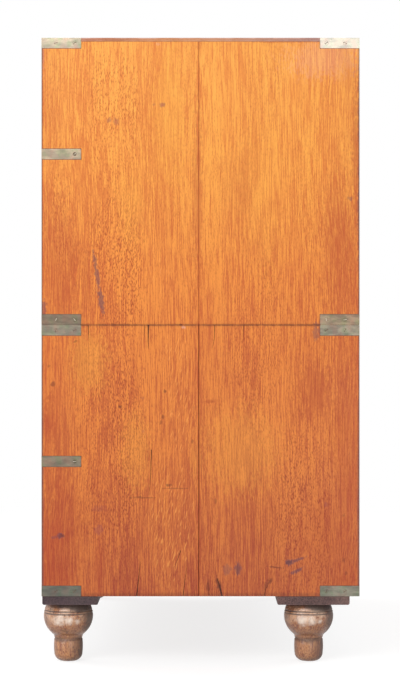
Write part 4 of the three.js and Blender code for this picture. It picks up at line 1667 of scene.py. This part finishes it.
@dataclass
class Straps:
    """The brass straps let in round the corners, the dark line along their edges, which is dirt and
    painted shade, and their screws.
    """

    brasses: dict[str, BrassFinish]
    heads: dict[str, tuple[BrassFinish, DarkFinish]]
    # The dark finish of the lines round the legs, the rings round the screws and their slots: dirt and
    # painted shade.
    dirt: DarkFinish
    thickness: float = 0.002
    lift: float = 0.0001
    corner: float = 0.0014
    corner_steps: int = 4
    arris: float = 0.0005
    dark_line_width: float = 0.0007
    dark_line_depth: float = 0.0012
    screw: Screw = field(default_factory=Screw)
    screw_places: tuple[float, ...] = (0.0097, 0.0385)
    seed: int = 7

    def brass(self, node: str) -> BrassFinish:
        """The brass of a strap: the first whose place is in the node's name."""
        return next(finish for place, finish in self.brasses.items() if place in node)

    def stations(self, length: float, height: float, first: float) -> Outline:
        """Places along a leg, from the bend to its round-cornered end.

        Args:
            length: the leg's length from the corner.
            height: the strap's height.
            first: where the first place is.

        Returns:
            Each place's distance from the corner, and half the strap's height there.
        """
        places = [(first, height / 2)]
        for step in range(self.corner_steps + 1):
            angle = math.pi / 2 * step / self.corner_steps
            along = length - self.corner + self.corner * math.sin(angle)
            places.append((along, height / 2 - self.corner + self.corner * math.cos(angle)))
        return places

    def strap(self, node: str, body: str) -> None:
        """Builds one strap in the place of its node.

        Args:
            node: the node that it replaces.
            body: the body that it rides on.
        """
        low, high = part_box(node)
        out = Vector((1 if high.x > 0 else -1, 1 if high.y > 0 else -1, 0))
        height = high.z - low.z
        legs = (high.x - low.x, high.y - low.y)
        deep = self.thickness
        rows = []
        for along, half in reversed(self.stations(legs[0], height, deep)):
            rows.append(((along, -self.lift), (along, deep), half))
        rows[-1] = ((-self.lift, -self.lift), (deep, deep), height / 2)
        for along, half in self.stations(legs[1], height, deep)[1:]:
            rows.append(((-self.lift, along), (deep, along), half))
        edges = (high.x if out.x > 0 else low.x, high.y if out.y > 0 else low.y)
        corner = Vector((*edges, (low.z + high.z) / 2))
        rings = []
        for outer, inner, half in rows:
            points = ((outer, -half), (outer, half), (inner, half), (inner, -half))
            rings.append([corner + Vector((-out.x * a, -out.y * b, z)) for (a, b), z in points])
        form = Form()
        form.skin(rings, Matrix.Identity(4))
        piece = bevelled(form.piece(f"{node}_brass", [self.brass(node)]), self.arris)
        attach(piece, body)
        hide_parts(node)
        self.fasten(node, body, corner, out)

    def fasten(self, node: str, body: str, corner: Vector, out: Vector) -> None:
        """Sets the screws of one strap, and the dark line round its legs, which is dirt and painted shade
        along the gap.

        Args:
            node: the strap's node.
            body: the body that they ride on.
            corner: the middle of the strap's outer corner.
            out: which way the corner points.
        """
        draw = random.Random(f"{self.seed} {node}")
        low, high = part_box(node)
        floor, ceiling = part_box(f"{body.split('_')[0]}_side_right")
        bottom = max(low.z - self.dark_line_width, floor.z + self.lift) - corner.z
        top = min(high.z + self.dark_line_width, ceiling.z - self.lift) - corner.z
        places = self.screw_places[:1] if "middle" in node else self.screw_places
        form = Form()
        for face, back, length in (
            (Vector((out.x, 0, 0)), Vector((0, -out.y, 0)), high.y - low.y),
            (Vector((0, out.y, 0)), Vector((-out.x, 0, 0)), high.x - low.x),
        ):
            for inset in places:
                spot = corner + back * (length - inset) + face * self.lift
                self.screw.add(form, facing(spot, face, draw.uniform(0, math.pi)))
            upright = Matrix((back, (0, 0, 1), face)).transposed().to_4x4()
            end = length + self.dark_line_width
            outline = [(self.lift, bottom), (end, bottom), (end, top), (self.lift, top)]
            # A dark sheet round the legs: dirt, and painted shade along the gap round the strap.
            form.slab(outline, -self.dark_line_depth, self.lift / 2, Matrix.Translation(corner) @ upright, 1)
        plain = [(self.brass(node), self.dirt)]
        head, slot = ([pair for place, pair in self.heads.items() if place in node] or plain)[0]
        piece = bevelled(form.piece(f"{node}_screws", [head, self.dirt, slot]), self.screw.arris, 1)
        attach(piece, body)

    def build(self) -> int:
        """Builds all the straps.

        Returns:
            How many there are.
        """
        nodes = named("strap_")
        for node in nodes:
            self.strap(node, f"{node.split('_')[1]}_section")
        return len(nodes)


@dataclass
class Feet:
    """The four turned feet: sole, shank, quirk, and a ball with two incised rings."""

    ball_half_height: float = 0.0371
    top_cut: float = 0.0203
    shank_swell: float = 0.0006
    shank_steps: int = 6
    cove_height: float = 0.005
    cove_width: float = 0.0025
    cove_shares: tuple[Band, ...] = ((0.12, 0.4), (0.45, 0.75))
    quirk: float = 0.0008
    quirk_edges: tuple[float, ...] = (0.003, 0.0022, 0.0008)
    sole_radius: float = 0.009
    sole_rounding: float = 0.013
    sole_steps: int = 8
    ring_shares: tuple[float, ...] = (0.12, 0.23)
    ring_depth: float = 0.0008
    ring_width: float = 0.0013
    ring_steepness: float = 4.0
    spigot_radius: float = 0.011
    spigot_top: float = 0.1172
    axis_hole: float = 0.0005
    sides: int = 72
    ball_steps: int = 46
    smooth: float = 50.0

    def ball(self) -> Outline:
        """The ball's outline, from the cove to its cut top.

        Returns:
            Radius and height of each point.
        """
        centre = FOOT_TOP - self.top_cut
        start = -math.acos((SHANK_RADIUS + self.cove_width) / BALL_RADIUS)
        end = math.asin(self.top_cut / self.ball_half_height)
        points = []
        for step in range(self.ball_steps + 1):
            angle = start + (end - start) * step / self.ball_steps
            height = centre + self.ball_half_height * math.sin(angle)
            radius = BALL_RADIUS * math.cos(angle)
            for share in self.ring_shares:
                off = (height - centre - self.ball_half_height * share) / self.ring_width
                radius -= self.ring_depth * math.exp(-off * off * self.ring_steepness)
            points.append((radius, height))
        return points

    def shank(self, neck: float) -> Outline:
        """The outline of the sole, the shank, and the quirk and cove under the ball.

        Args:
            neck: the height of the cove's foot.

        Returns:
            Radius and height of each point.
        """
        points = [(self.axis_hole, 0.0)]
        for step in range(self.sole_steps + 1):
            angle = step / self.sole_steps * math.pi / 2
            flare = (SHANK_RADIUS - self.sole_radius) * math.sin(angle)
            points.append((self.sole_radius + flare, self.sole_rounding * (1 - math.cos(angle))))
        quirk_start, quirk_in, quirk_out = (neck - drop for drop in self.quirk_edges)
        for step in range(1, self.shank_steps):
            share = step / self.shank_steps
            height = self.sole_rounding + (quirk_start - self.sole_rounding) * share
            points.append((SHANK_RADIUS + self.shank_swell * math.sin(math.pi * share), height))
        deep = SHANK_RADIUS - self.quirk
        points += [(SHANK_RADIUS, quirk_start), (deep, quirk_in), (deep, quirk_out), (SHANK_RADIUS, neck)]
        for wider, higher in self.cove_shares:
            points.append((SHANK_RADIUS + self.cove_width * wider, neck + self.cove_height * higher))
        return points

    def profile(self) -> Outline:
        """The whole foot's outline, from the middle of its sole to the top of its spigot.

        Returns:
            Radius and height of each point.
        """
        ball = self.ball()
        points = self.shank(ball[0][1] - self.cove_height) + ball
        spigot = [(self.spigot_radius, FOOT_TOP), (self.spigot_radius, self.spigot_top)]
        return points + spigot + [(self.axis_hole, self.spigot_top)]

    def build(self) -> int:
        """Builds the feet.

        Returns:
            How many there are.
        """
        nodes = named("foot_")
        for index, node in enumerate(nodes):
            low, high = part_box(node)
            form = Form()
            form.lathe(self.profile(), self.sides, Matrix.Identity(4))
            piece = form.piece(f"{node}_turned", [FootFinish(f"{node} wood", index)], self.smooth)
            piece.location = ((low.x + high.x) / 2, (low.y + high.y) / 2, 0.0)
            piece.rotation_euler.z = math.copysign(math.pi / 2, low.x)
            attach(piece, node)
            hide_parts(node)
        return len(nodes)


@dataclass
class Handle:
    """A flush handle: its plate's arrises and screws, and a smooth bail."""

    brass: BrassFinish
    grime: DarkFinish
    plate_arris: float = 0.0004
    screw_inset: float = 0.0052
    screw: Screw = field(default_factory=lambda: Screw(radius=0.0022, slot=0.0007))
    arm: float = 0.0342
    bend: float = 0.009
    pin_radius: float = 0.0016
    tip_above_pin: float = 0.0024
    pin_sides: int = 12
    pin_arris: float = 0.0005
    grip_swell: float = 0.0003
    grip_shares: tuple[float, ...] = (-0.66, -0.33)
    arc_steps: int = 8
    sides: int = 18
    smooth: float = 40.0

    def path(self, low: Vector, high: Vector) -> list[Vector]:
        """The middle of the bail's rod, from one tip, down, across and up to the other.

        Args:
            low: the lowest corner of the bail's box.
            high: its highest corner.

        Returns:
            The points.
        """
        radius = (high.y - low.y) / 2
        middle = Vector(((low.x + high.x) / 2, (low.y + high.y) / 2, 0))
        grip = low.z + radius
        points = [middle + Vector((-self.arm, 0, high.z))]
        for step in range(self.arc_steps + 1):
            angle = math.pi / 2 * step / self.arc_steps
            across = -self.arm + self.bend * (1 - math.cos(angle))
            points.append(middle + Vector((across, 0, grip + self.bend * (1 - math.sin(angle)))))
        half = self.arm - self.bend
        points += [middle + Vector((half * share, 0, grip)) for share in self.grip_shares]
        mirrored = [Vector((2 * middle.x - p.x, p.y, p.z)) for p in reversed(points)]
        return points + [middle + Vector((0, 0, grip))] + mirrored

    def bail(self, node: str) -> None:
        """Builds a smooth bail with its two pins.

        Args:
            node: the node that it replaces.
        """
        low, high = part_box(node)
        radius = (high.y - low.y) / 2
        centre = (low.x + high.x) / 2
        deep = Vector((0, 1, 0)) * radius
        turns = [2 * math.pi * side / self.sides for side in range(self.sides)]
        path = self.path(low, high)
        rings = []
        for index, point in enumerate(path):
            ahead = path[min(index + 1, len(path) - 1)] - path[max(index - 1, 0)]
            side = ahead.cross(Vector((0, 1, 0))).normalized()
            near = max(0.0, 1 - abs(point.x - centre) / self.arm)
            wide = side * (radius + self.grip_swell * near)
            rings.append([point + wide * math.cos(turn) + deep * math.sin(turn) for turn in turns])
        form = Form()
        form.skin(rings, Matrix.Identity(4))
        pin_height = high.z - self.tip_above_pin
        for sign in (-1, 1):
            start = Vector((centre + sign * self.arm, (low.y + high.y) / 2, pin_height))
            length = (high.x - low.x) / 2 - self.arm
            pin = circle(self.pin_radius, self.pin_sides)
            form.slab(pin, 0.0, length, facing(start, Vector((sign, 0, 0))))
        piece = bevelled(form.piece(f"{node}_smooth", [self.brass], self.smooth), self.pin_arris)
        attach(piece, node)
        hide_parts(node)

    def plate(self, node: str, body: str) -> None:
        """Dresses a plate and sets its four screws.

        Args:
            node: the plate's node.
            body: the body that it rides on.
        """
        dressed(node, self.brass, self.plate_arris)
        draw = random.Random(node)
        low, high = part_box(node)
        form = Form()
        for x in (low.x + self.screw_inset, high.x - self.screw_inset):
            for z in (low.z + self.screw_inset, high.z - self.screw_inset):
                place = facing(Vector((x, low.y, z)), Vector((0, -1, 0)), draw.uniform(0, math.pi))
                self.screw.add(form, place)
        piece = bevelled(form.piece(f"{node}_screws", [self.brass, self.grime]), self.screw.arris, 1)
        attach(piece, body)


@dataclass
class Drawers:
    """The five drawers: fronts and dovetails, handles, locks and keyhole plates."""

    brass: BrassFinish
    grime: DarkFinish
    arris: float = 0.0008
    plate_width: float = 0.014
    plate_height: float = 0.02
    plate_drop: float = 0.026
    plate_lift: float = 0.0004
    plate_bed: float = 0.0006
    plate_arris: float = 0.0001
    backing_share: float = 0.8
    backing_lift: float = 0.00008
    keyhole_radius: float = 0.0024
    keyhole_slot: float = 0.0013
    keyhole_length: float = 0.0085
    keyhole_rise: float = 0.002
    keyhole_neck: float = -0.55
    keyhole_point: float = 0.05
    lock_width: float = 0.058
    lock_height: float = 0.036
    lock_corner: float = 0.0015
    lock_bed: float = 0.004
    lock_lift: float = 0.0006
    lock_arris: float = 0.0002
    lock_screw: Screw = field(default_factory=lambda: Screw(radius=0.002, slot=0.0006))
    lock_screw_shares: Band = (0.4, 0.32)
    front_thickness: float = 0.02
    lip_inset: float = 0.006
    lip_depth: float = 0.012
    lip_corner: float = 0.001
    lip_lift: float = 0.0002
    bolt_width: float = 0.012
    bolt_depth: float = 0.005
    bolt_corner: float = 0.0006
    bolt_lift: float = 0.0005
    bolt_bed: float = 0.002
    tail_pitch: float = 0.042
    seed_step: float = 1.9
    sides: int = 32

    def keyhole(self) -> Outline:
        """A keyhole's outline: a round hole over a narrow slot, with a point for each side of its plate.

        Returns:
            The points.
        """
        points = []
        for x, y in circle(1.0, self.sides):
            across, up = self.keyhole_radius * x, self.keyhole_radius * y
            if y <= self.keyhole_neck:
                across = math.copysign(self.keyhole_slot, x) if abs(x) > self.keyhole_point else 0.0
                up = -self.keyhole_length
            points.append((across, up + self.keyhole_rise))
        return points

    def escutcheon(self, body: str) -> None:
        """Lets a keyhole plate into a drawer front, over a dark sheet that shows through the keyhole as
        painted shade.

        Args:
            body: the drawer's body, which its node is named after.
        """
        low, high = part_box(body)
        middle = Vector(((low.x + high.x) / 2, low.y, high.z - self.plate_drop))
        place = facing(middle, Vector((0, -1, 0)))
        ring = circle(0.5, self.sides, math.pi / self.sides)
        outer = [(x * self.plate_width, y * self.plate_height) for x, y in ring]
        form = Form()
        form.frame(outer, self.keyhole(), -self.plate_bed, self.plate_lift, place)
        # A dark sheet under the plate, which shows through the keyhole: painted shade for the hole.
        backing = [(x * self.backing_share, y * self.backing_share) for x, y in outer]
        form.slab(backing, -self.plate_bed, self.backing_lift, place, 1)
        piece = form.piece(f"{body}_keyhole_plate", [self.brass, self.grime])
        bevelled(piece, self.plate_arris, 1)
        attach(piece, body)

    def lock(self, body: str) -> None:
        """Sets the lock behind a drawer front, with its lip and bolt in the top edge.

        Args:
            body: the drawer's body, which its node is named after.
        """
        low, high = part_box(body)
        middle = (low.x + high.x) / 2
        inner_face = low.y + self.front_thickness
        form = Form()
        case = facing(Vector((middle, inner_face, high.z - self.lock_height / 2)), Vector((0, 1, 0)))
        outline = rounded(self.lock_width, self.lock_height, self.lock_corner)
        form.slab(outline, -self.lock_bed, self.lock_lift, case)
        top = facing(Vector((middle, inner_face - self.lip_inset, high.z)), Vector((0, 0, 1)))
        outline = rounded(self.lock_width, self.lip_depth, self.lip_corner)
        form.slab(outline, -self.bolt_bed, self.lip_lift, top)
        outline = rounded(self.bolt_width, self.bolt_depth, self.bolt_corner)
        form.slab(outline, -self.bolt_bed, self.bolt_lift, top)
        across, up = self.lock_screw_shares
        for x in (-across, across):
            for z in (-up, up):
                spot = case @ Vector((x * self.lock_width, z * self.lock_height, self.lock_lift))
                self.lock_screw.add(form, facing(spot, Vector((0, 1, 0)), x * 3 + z))
        piece = bevelled(form.piece(f"{body}_lock", [self.brass, self.grime]), self.lock_arris, 1)
        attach(piece, body)

    def build(self) -> int:
        """Builds all the drawers' fittings.

        Returns:
            How many drawers there are.
        """
        handle = Handle(self.brass, self.grime)
        bodies = named("drawer_")
        for index, body in enumerate(bodies):
            low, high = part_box(body)
            height = high.z - low.z
            finish = DrawerFinish(
                f"{body} wood", paint(236, 148, 72), paint(186, 97, 50), paint(112, 62, 42), Grain.ACROSS,
                seed=self.seed_step * index, pores=0.65, roughness=0.4,
                front=low.y, base=low.z, pitch=height / max(2, round(height / self.tail_pitch)),
            )
            dressed(body, finish, self.arris)
            self.escutcheon(body)
            self.lock(body)
            for node in named(f"handle_plate_{body.removeprefix('drawer_')}"):
                handle.plate(node, body)
                handle.bail(node.replace("plate", "bail"))
        return len(bodies)


@dataclass
class Underframe:
    """The two dark bearers under the carcass, the front one with darker wood than the rear's as painted
    shade.
    """

    arris: float = 0.001
    # The front bearer's wood is darker than the rear's: painted shade.
    front: BoardFinish = BoardFinish(
        "front bearer wood", paint(80, 59, 64), paint(44, 31, 38), paint(116, 90, 90), Grain.ACROSS,
        seed=13.1, pores=0.9, roughness=0.6, dust=0.15, specular=0.42,
    )
    rear: BoardFinish = BoardFinish(
        "rear bearer wood", paint(118, 84, 78), paint(70, 46, 46), paint(126, 96, 92), Grain.ACROSS,
        seed=9.7, pores=0.9, roughness=0.6, dust=0.15, specular=0.58,
    )

    def build(self) -> int:
        """Dresses the bearers.

        Returns:
            How many there are.
        """
        nodes = named(end="_bearer")
        for node in nodes:
            dressed(node, self.front if "front" in node else self.rear, self.arris)
        return len(nodes)


@dataclass
class BackScrews:
    """Iron screws along the ends of the back boards."""

    iron: DarkFinish
    grime: DarkFinish
    rows: int = 3
    inset: float = 0.012
    row_shares: tuple[float, ...] = (0.25, 0.75)
    screw: Screw = field(default_factory=lambda: Screw(radius=0.0035, slot=0.0009))

    def build(self) -> int:
        """Sets the screws.

        Returns:
            How many there are.
        """
        count = 0
        for section in ("upper", "lower"):
            low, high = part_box(f"{section}_back")
            draw = random.Random(section)
            step = (high.z - low.z) / self.rows
            form = Form()
            for row in range(self.rows):
                for share in self.row_shares:
                    for x in (low.x + self.inset, high.x - self.inset):
                        spot = Vector((x, high.y, low.z + step * (row + share)))
                        self.screw.add(form, facing(spot, Vector((0, 1, 0)), draw.uniform(0, math.pi)))
                        count += 1
            piece = form.piece(f"{section}_back_screws", [self.iron, self.grime, self.grime])
            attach(piece, f"{section}_section")
        return count


@dataclass
class Studio:
    """A pale floor, soft lamps, a white surround, and the camera square on to the side."""

    camera_distance: float = 3.3
    camera_height: float = 0.4845
    camera_shift: float = -0.0008
    frame_height: float = 1.0787
    sensor: float = 36.0
    floor_size: float = 40.0
    floor_thickness: float = 0.01
    floor_colour: float = 0.26
    floor_lift: float = 0.8
    fade_start: float = 1.3
    fade_end: float = 2.8
    sky: float = 0.62
    lamps: tuple[tuple[str, Triple, Triple, float, float], ...] = (
        ("key", (3.5, -1.5, 2.5), (0.4, 0.0, 0.55), 2.4, 78.0),
        ("front", (-1.6, -3.3, 2.3), (0.0, -0.2, 0.5), 2.4, 74.0),
        ("rear", (-1.8, 3.3, 2.3), (0.0, 0.2, 0.5), 2.4, 70.0),
        ("low left", (2.4, -1.9, 0.2), (0.42, -0.2, 0.08), 0.36, 9.0),
        ("low right", (2.8, 0.8, 0.2), (0.42, -0.1, 0.08), 0.36, 8.0),
    )
    soft_lamps: tuple[str, ...] = ("front", "rear")

    def seen(self, tree: Tree) -> Socket:
        """1 for rays from the camera, and for what shows in gloss or glass."""
        rays = tree.node("LightPath").outputs
        return tree.most(rays["Is Camera Ray"], rays["Is Glossy Ray"], rays["Is Transmission Ray"])

    def surround(self) -> None:
        """Lights the scene evenly, and shows white to the camera."""
        world = bpy.data.worlds.new("surround")
        tree = emptied(world)
        light = tree.node("Background", {"Color": WHITE, "Strength": self.sky})
        white = tree.node("Background", {"Color": WHITE, "Strength": 1.0})
        both = tree.node("MixShader", {0: self.seen(tree), 1: light.outputs[0], 2: white.outputs[0]})
        tree.node("OutputWorld", {"Surface": both.outputs[0]})
        bpy.context.scene.world = world

    def floor(self) -> None:
        """Lays the floor, which turns white away from the chest and keeps its shadow."""
        half = self.floor_size / 2
        form = Form()
        corners = [(-half, -half), (half, -half), (half, half), (-half, half)]
        form.slab(corners, -self.floor_thickness, 0.0, Matrix.Identity(4))
        floor = form.piece("floor", [])
        made = bpy.data.materials.new("pale floor")
        tree = emptied(made)
        seen = self.seen(tree)
        colour = (self.floor_colour,) * 3 + (1.0,)
        matt = tree.node("BsdfDiffuse", {"Color": colour}).outputs[0]
        lift = tree.times(seen, self.floor_lift)
        glow = tree.node("Emission", {"Strength": lift}).outputs[0]
        near = tree.node("AddShader", {0: matt, 1: glow}).outputs[0]
        reach = tree.vector("LENGTH", tree.vector("MULTIPLY", tree.position(), (1.0, 1.0, 0.0)))
        far = tree.times(tree.ease(reach, self.fade_start, self.fade_end), seen)
        white = tree.node("Emission", {"Strength": 1.0}).outputs[0]
        both = tree.node("MixShader", {0: far, 1: near, 2: white}).outputs[0]
        tree.node("OutputMaterial", {"Surface": both})
        floor.data.materials.append(made)

    def light(self) -> None:
        """Hangs the lamps."""
        for name, spot, aim, size, power in self.lamps:
            data = bpy.data.lights.new(name, "AREA")
            data.shape = "DISK"
            data.size = size
            data.energy = power
            lamp = bpy.data.objects.new(name, data)
            lamp.location = spot
            lamp.rotation_euler = (Vector(aim) - Vector(spot)).to_track_quat("-Z", "Y").to_euler()
            lamp.visible_camera = False
            lamp.visible_glossy = name not in self.soft_lamps
            bpy.context.scene.collection.objects.link(lamp)

    def camera(self) -> None:
        """Sets the camera level, square on to the side."""
        data = bpy.data.cameras.new("camera")
        data.sensor_width = self.sensor
        data.lens = self.sensor * self.camera_distance / self.frame_height
        camera = bpy.data.objects.new("camera", data)
        camera.location = (HALF_WIDTH + self.camera_distance, self.camera_shift, self.camera_height)
        camera.rotation_euler = (math.pi / 2, 0.0, math.pi / 2)
        bpy.context.scene.collection.objects.link(camera)
        bpy.context.scene.camera = camera

    def build(self) -> None:
        """Builds the studio."""
        self.camera()
        self.surround()
        self.floor()
        self.light()
        bpy.context.scene.view_settings.view_transform = "Standard"


def main() -> None:
    """Builds the chest's looks in order, and reports each part."""
    logging.basicConfig(level=logging.INFO, format="%(message)s")
    Studio().build()
    # The pale floor of some screw slots: a painted glint.
    glint_slot = DarkFinish("slot with painted glint", paint(226, 216, 196), paint(180, 168, 146))
    # The straps' brass is paler to the top: painted reflection of light from above.
    strap_stops = (
        (0.1, paint(117, 115, 103)),
        (0.32, paint(147, 132, 111)),
        (0.565, paint(140, 122, 101)),
        (0.82, paint(198, 177, 149)),
        (0.98, paint(217, 211, 196)),
    )
    brass = BrassFinish("strap brass", strap_stops, front=(0.7, 0.72, 0.75, 1.0))
    dull_stops = ((0.0, paint(136, 127, 111)), (1.0, paint(138, 129, 112)))
    brasses = {
        "lower_top": BrassFinish("dull strap brass", dull_stops),
        "upper_top": BrassFinish("top strap brass", strap_stops, front=(0.7, 0.63, 0.56, 1.0)),
        "strap": brass,
    }
    dark_stops = ((0.0, paint(78, 68, 56)), (1.0, paint(120, 104, 84)))
    heads = {
        "middle": (BrassFinish("dark screw brass", dark_stops, contrast=0.5), glint_slot),
        "upper_bottom": (brass, glint_slot),
    }
    handle_stops = ((0.0, paint(168, 144, 100)), (1.0, paint(212, 188, 140)))
    handle_brass = BrassFinish("handle brass", handle_stops, contrast=1.0, roughness=0.36, metal=0.8)
    grime = DarkFinish("grime")
    iron = DarkFinish("old iron", paint(74, 66, 60), paint(112, 100, 90))
    parts = {
        "boards": Carcass(),
        "straps": Straps(brasses, heads, DarkFinish("strap dirt and painted shade", paint(78, 44, 32), paint(112, 66, 44))),
        "bearers": Underframe(),
        "feet": Feet(),
        "drawers": Drawers(handle_brass, grime),
        "back screws": BackScrews(iron, grime),
    }
    for name, part in parts.items():
        LOG.info("%s: %d", name, part.build())


if __name__ == "__main__":
    main()
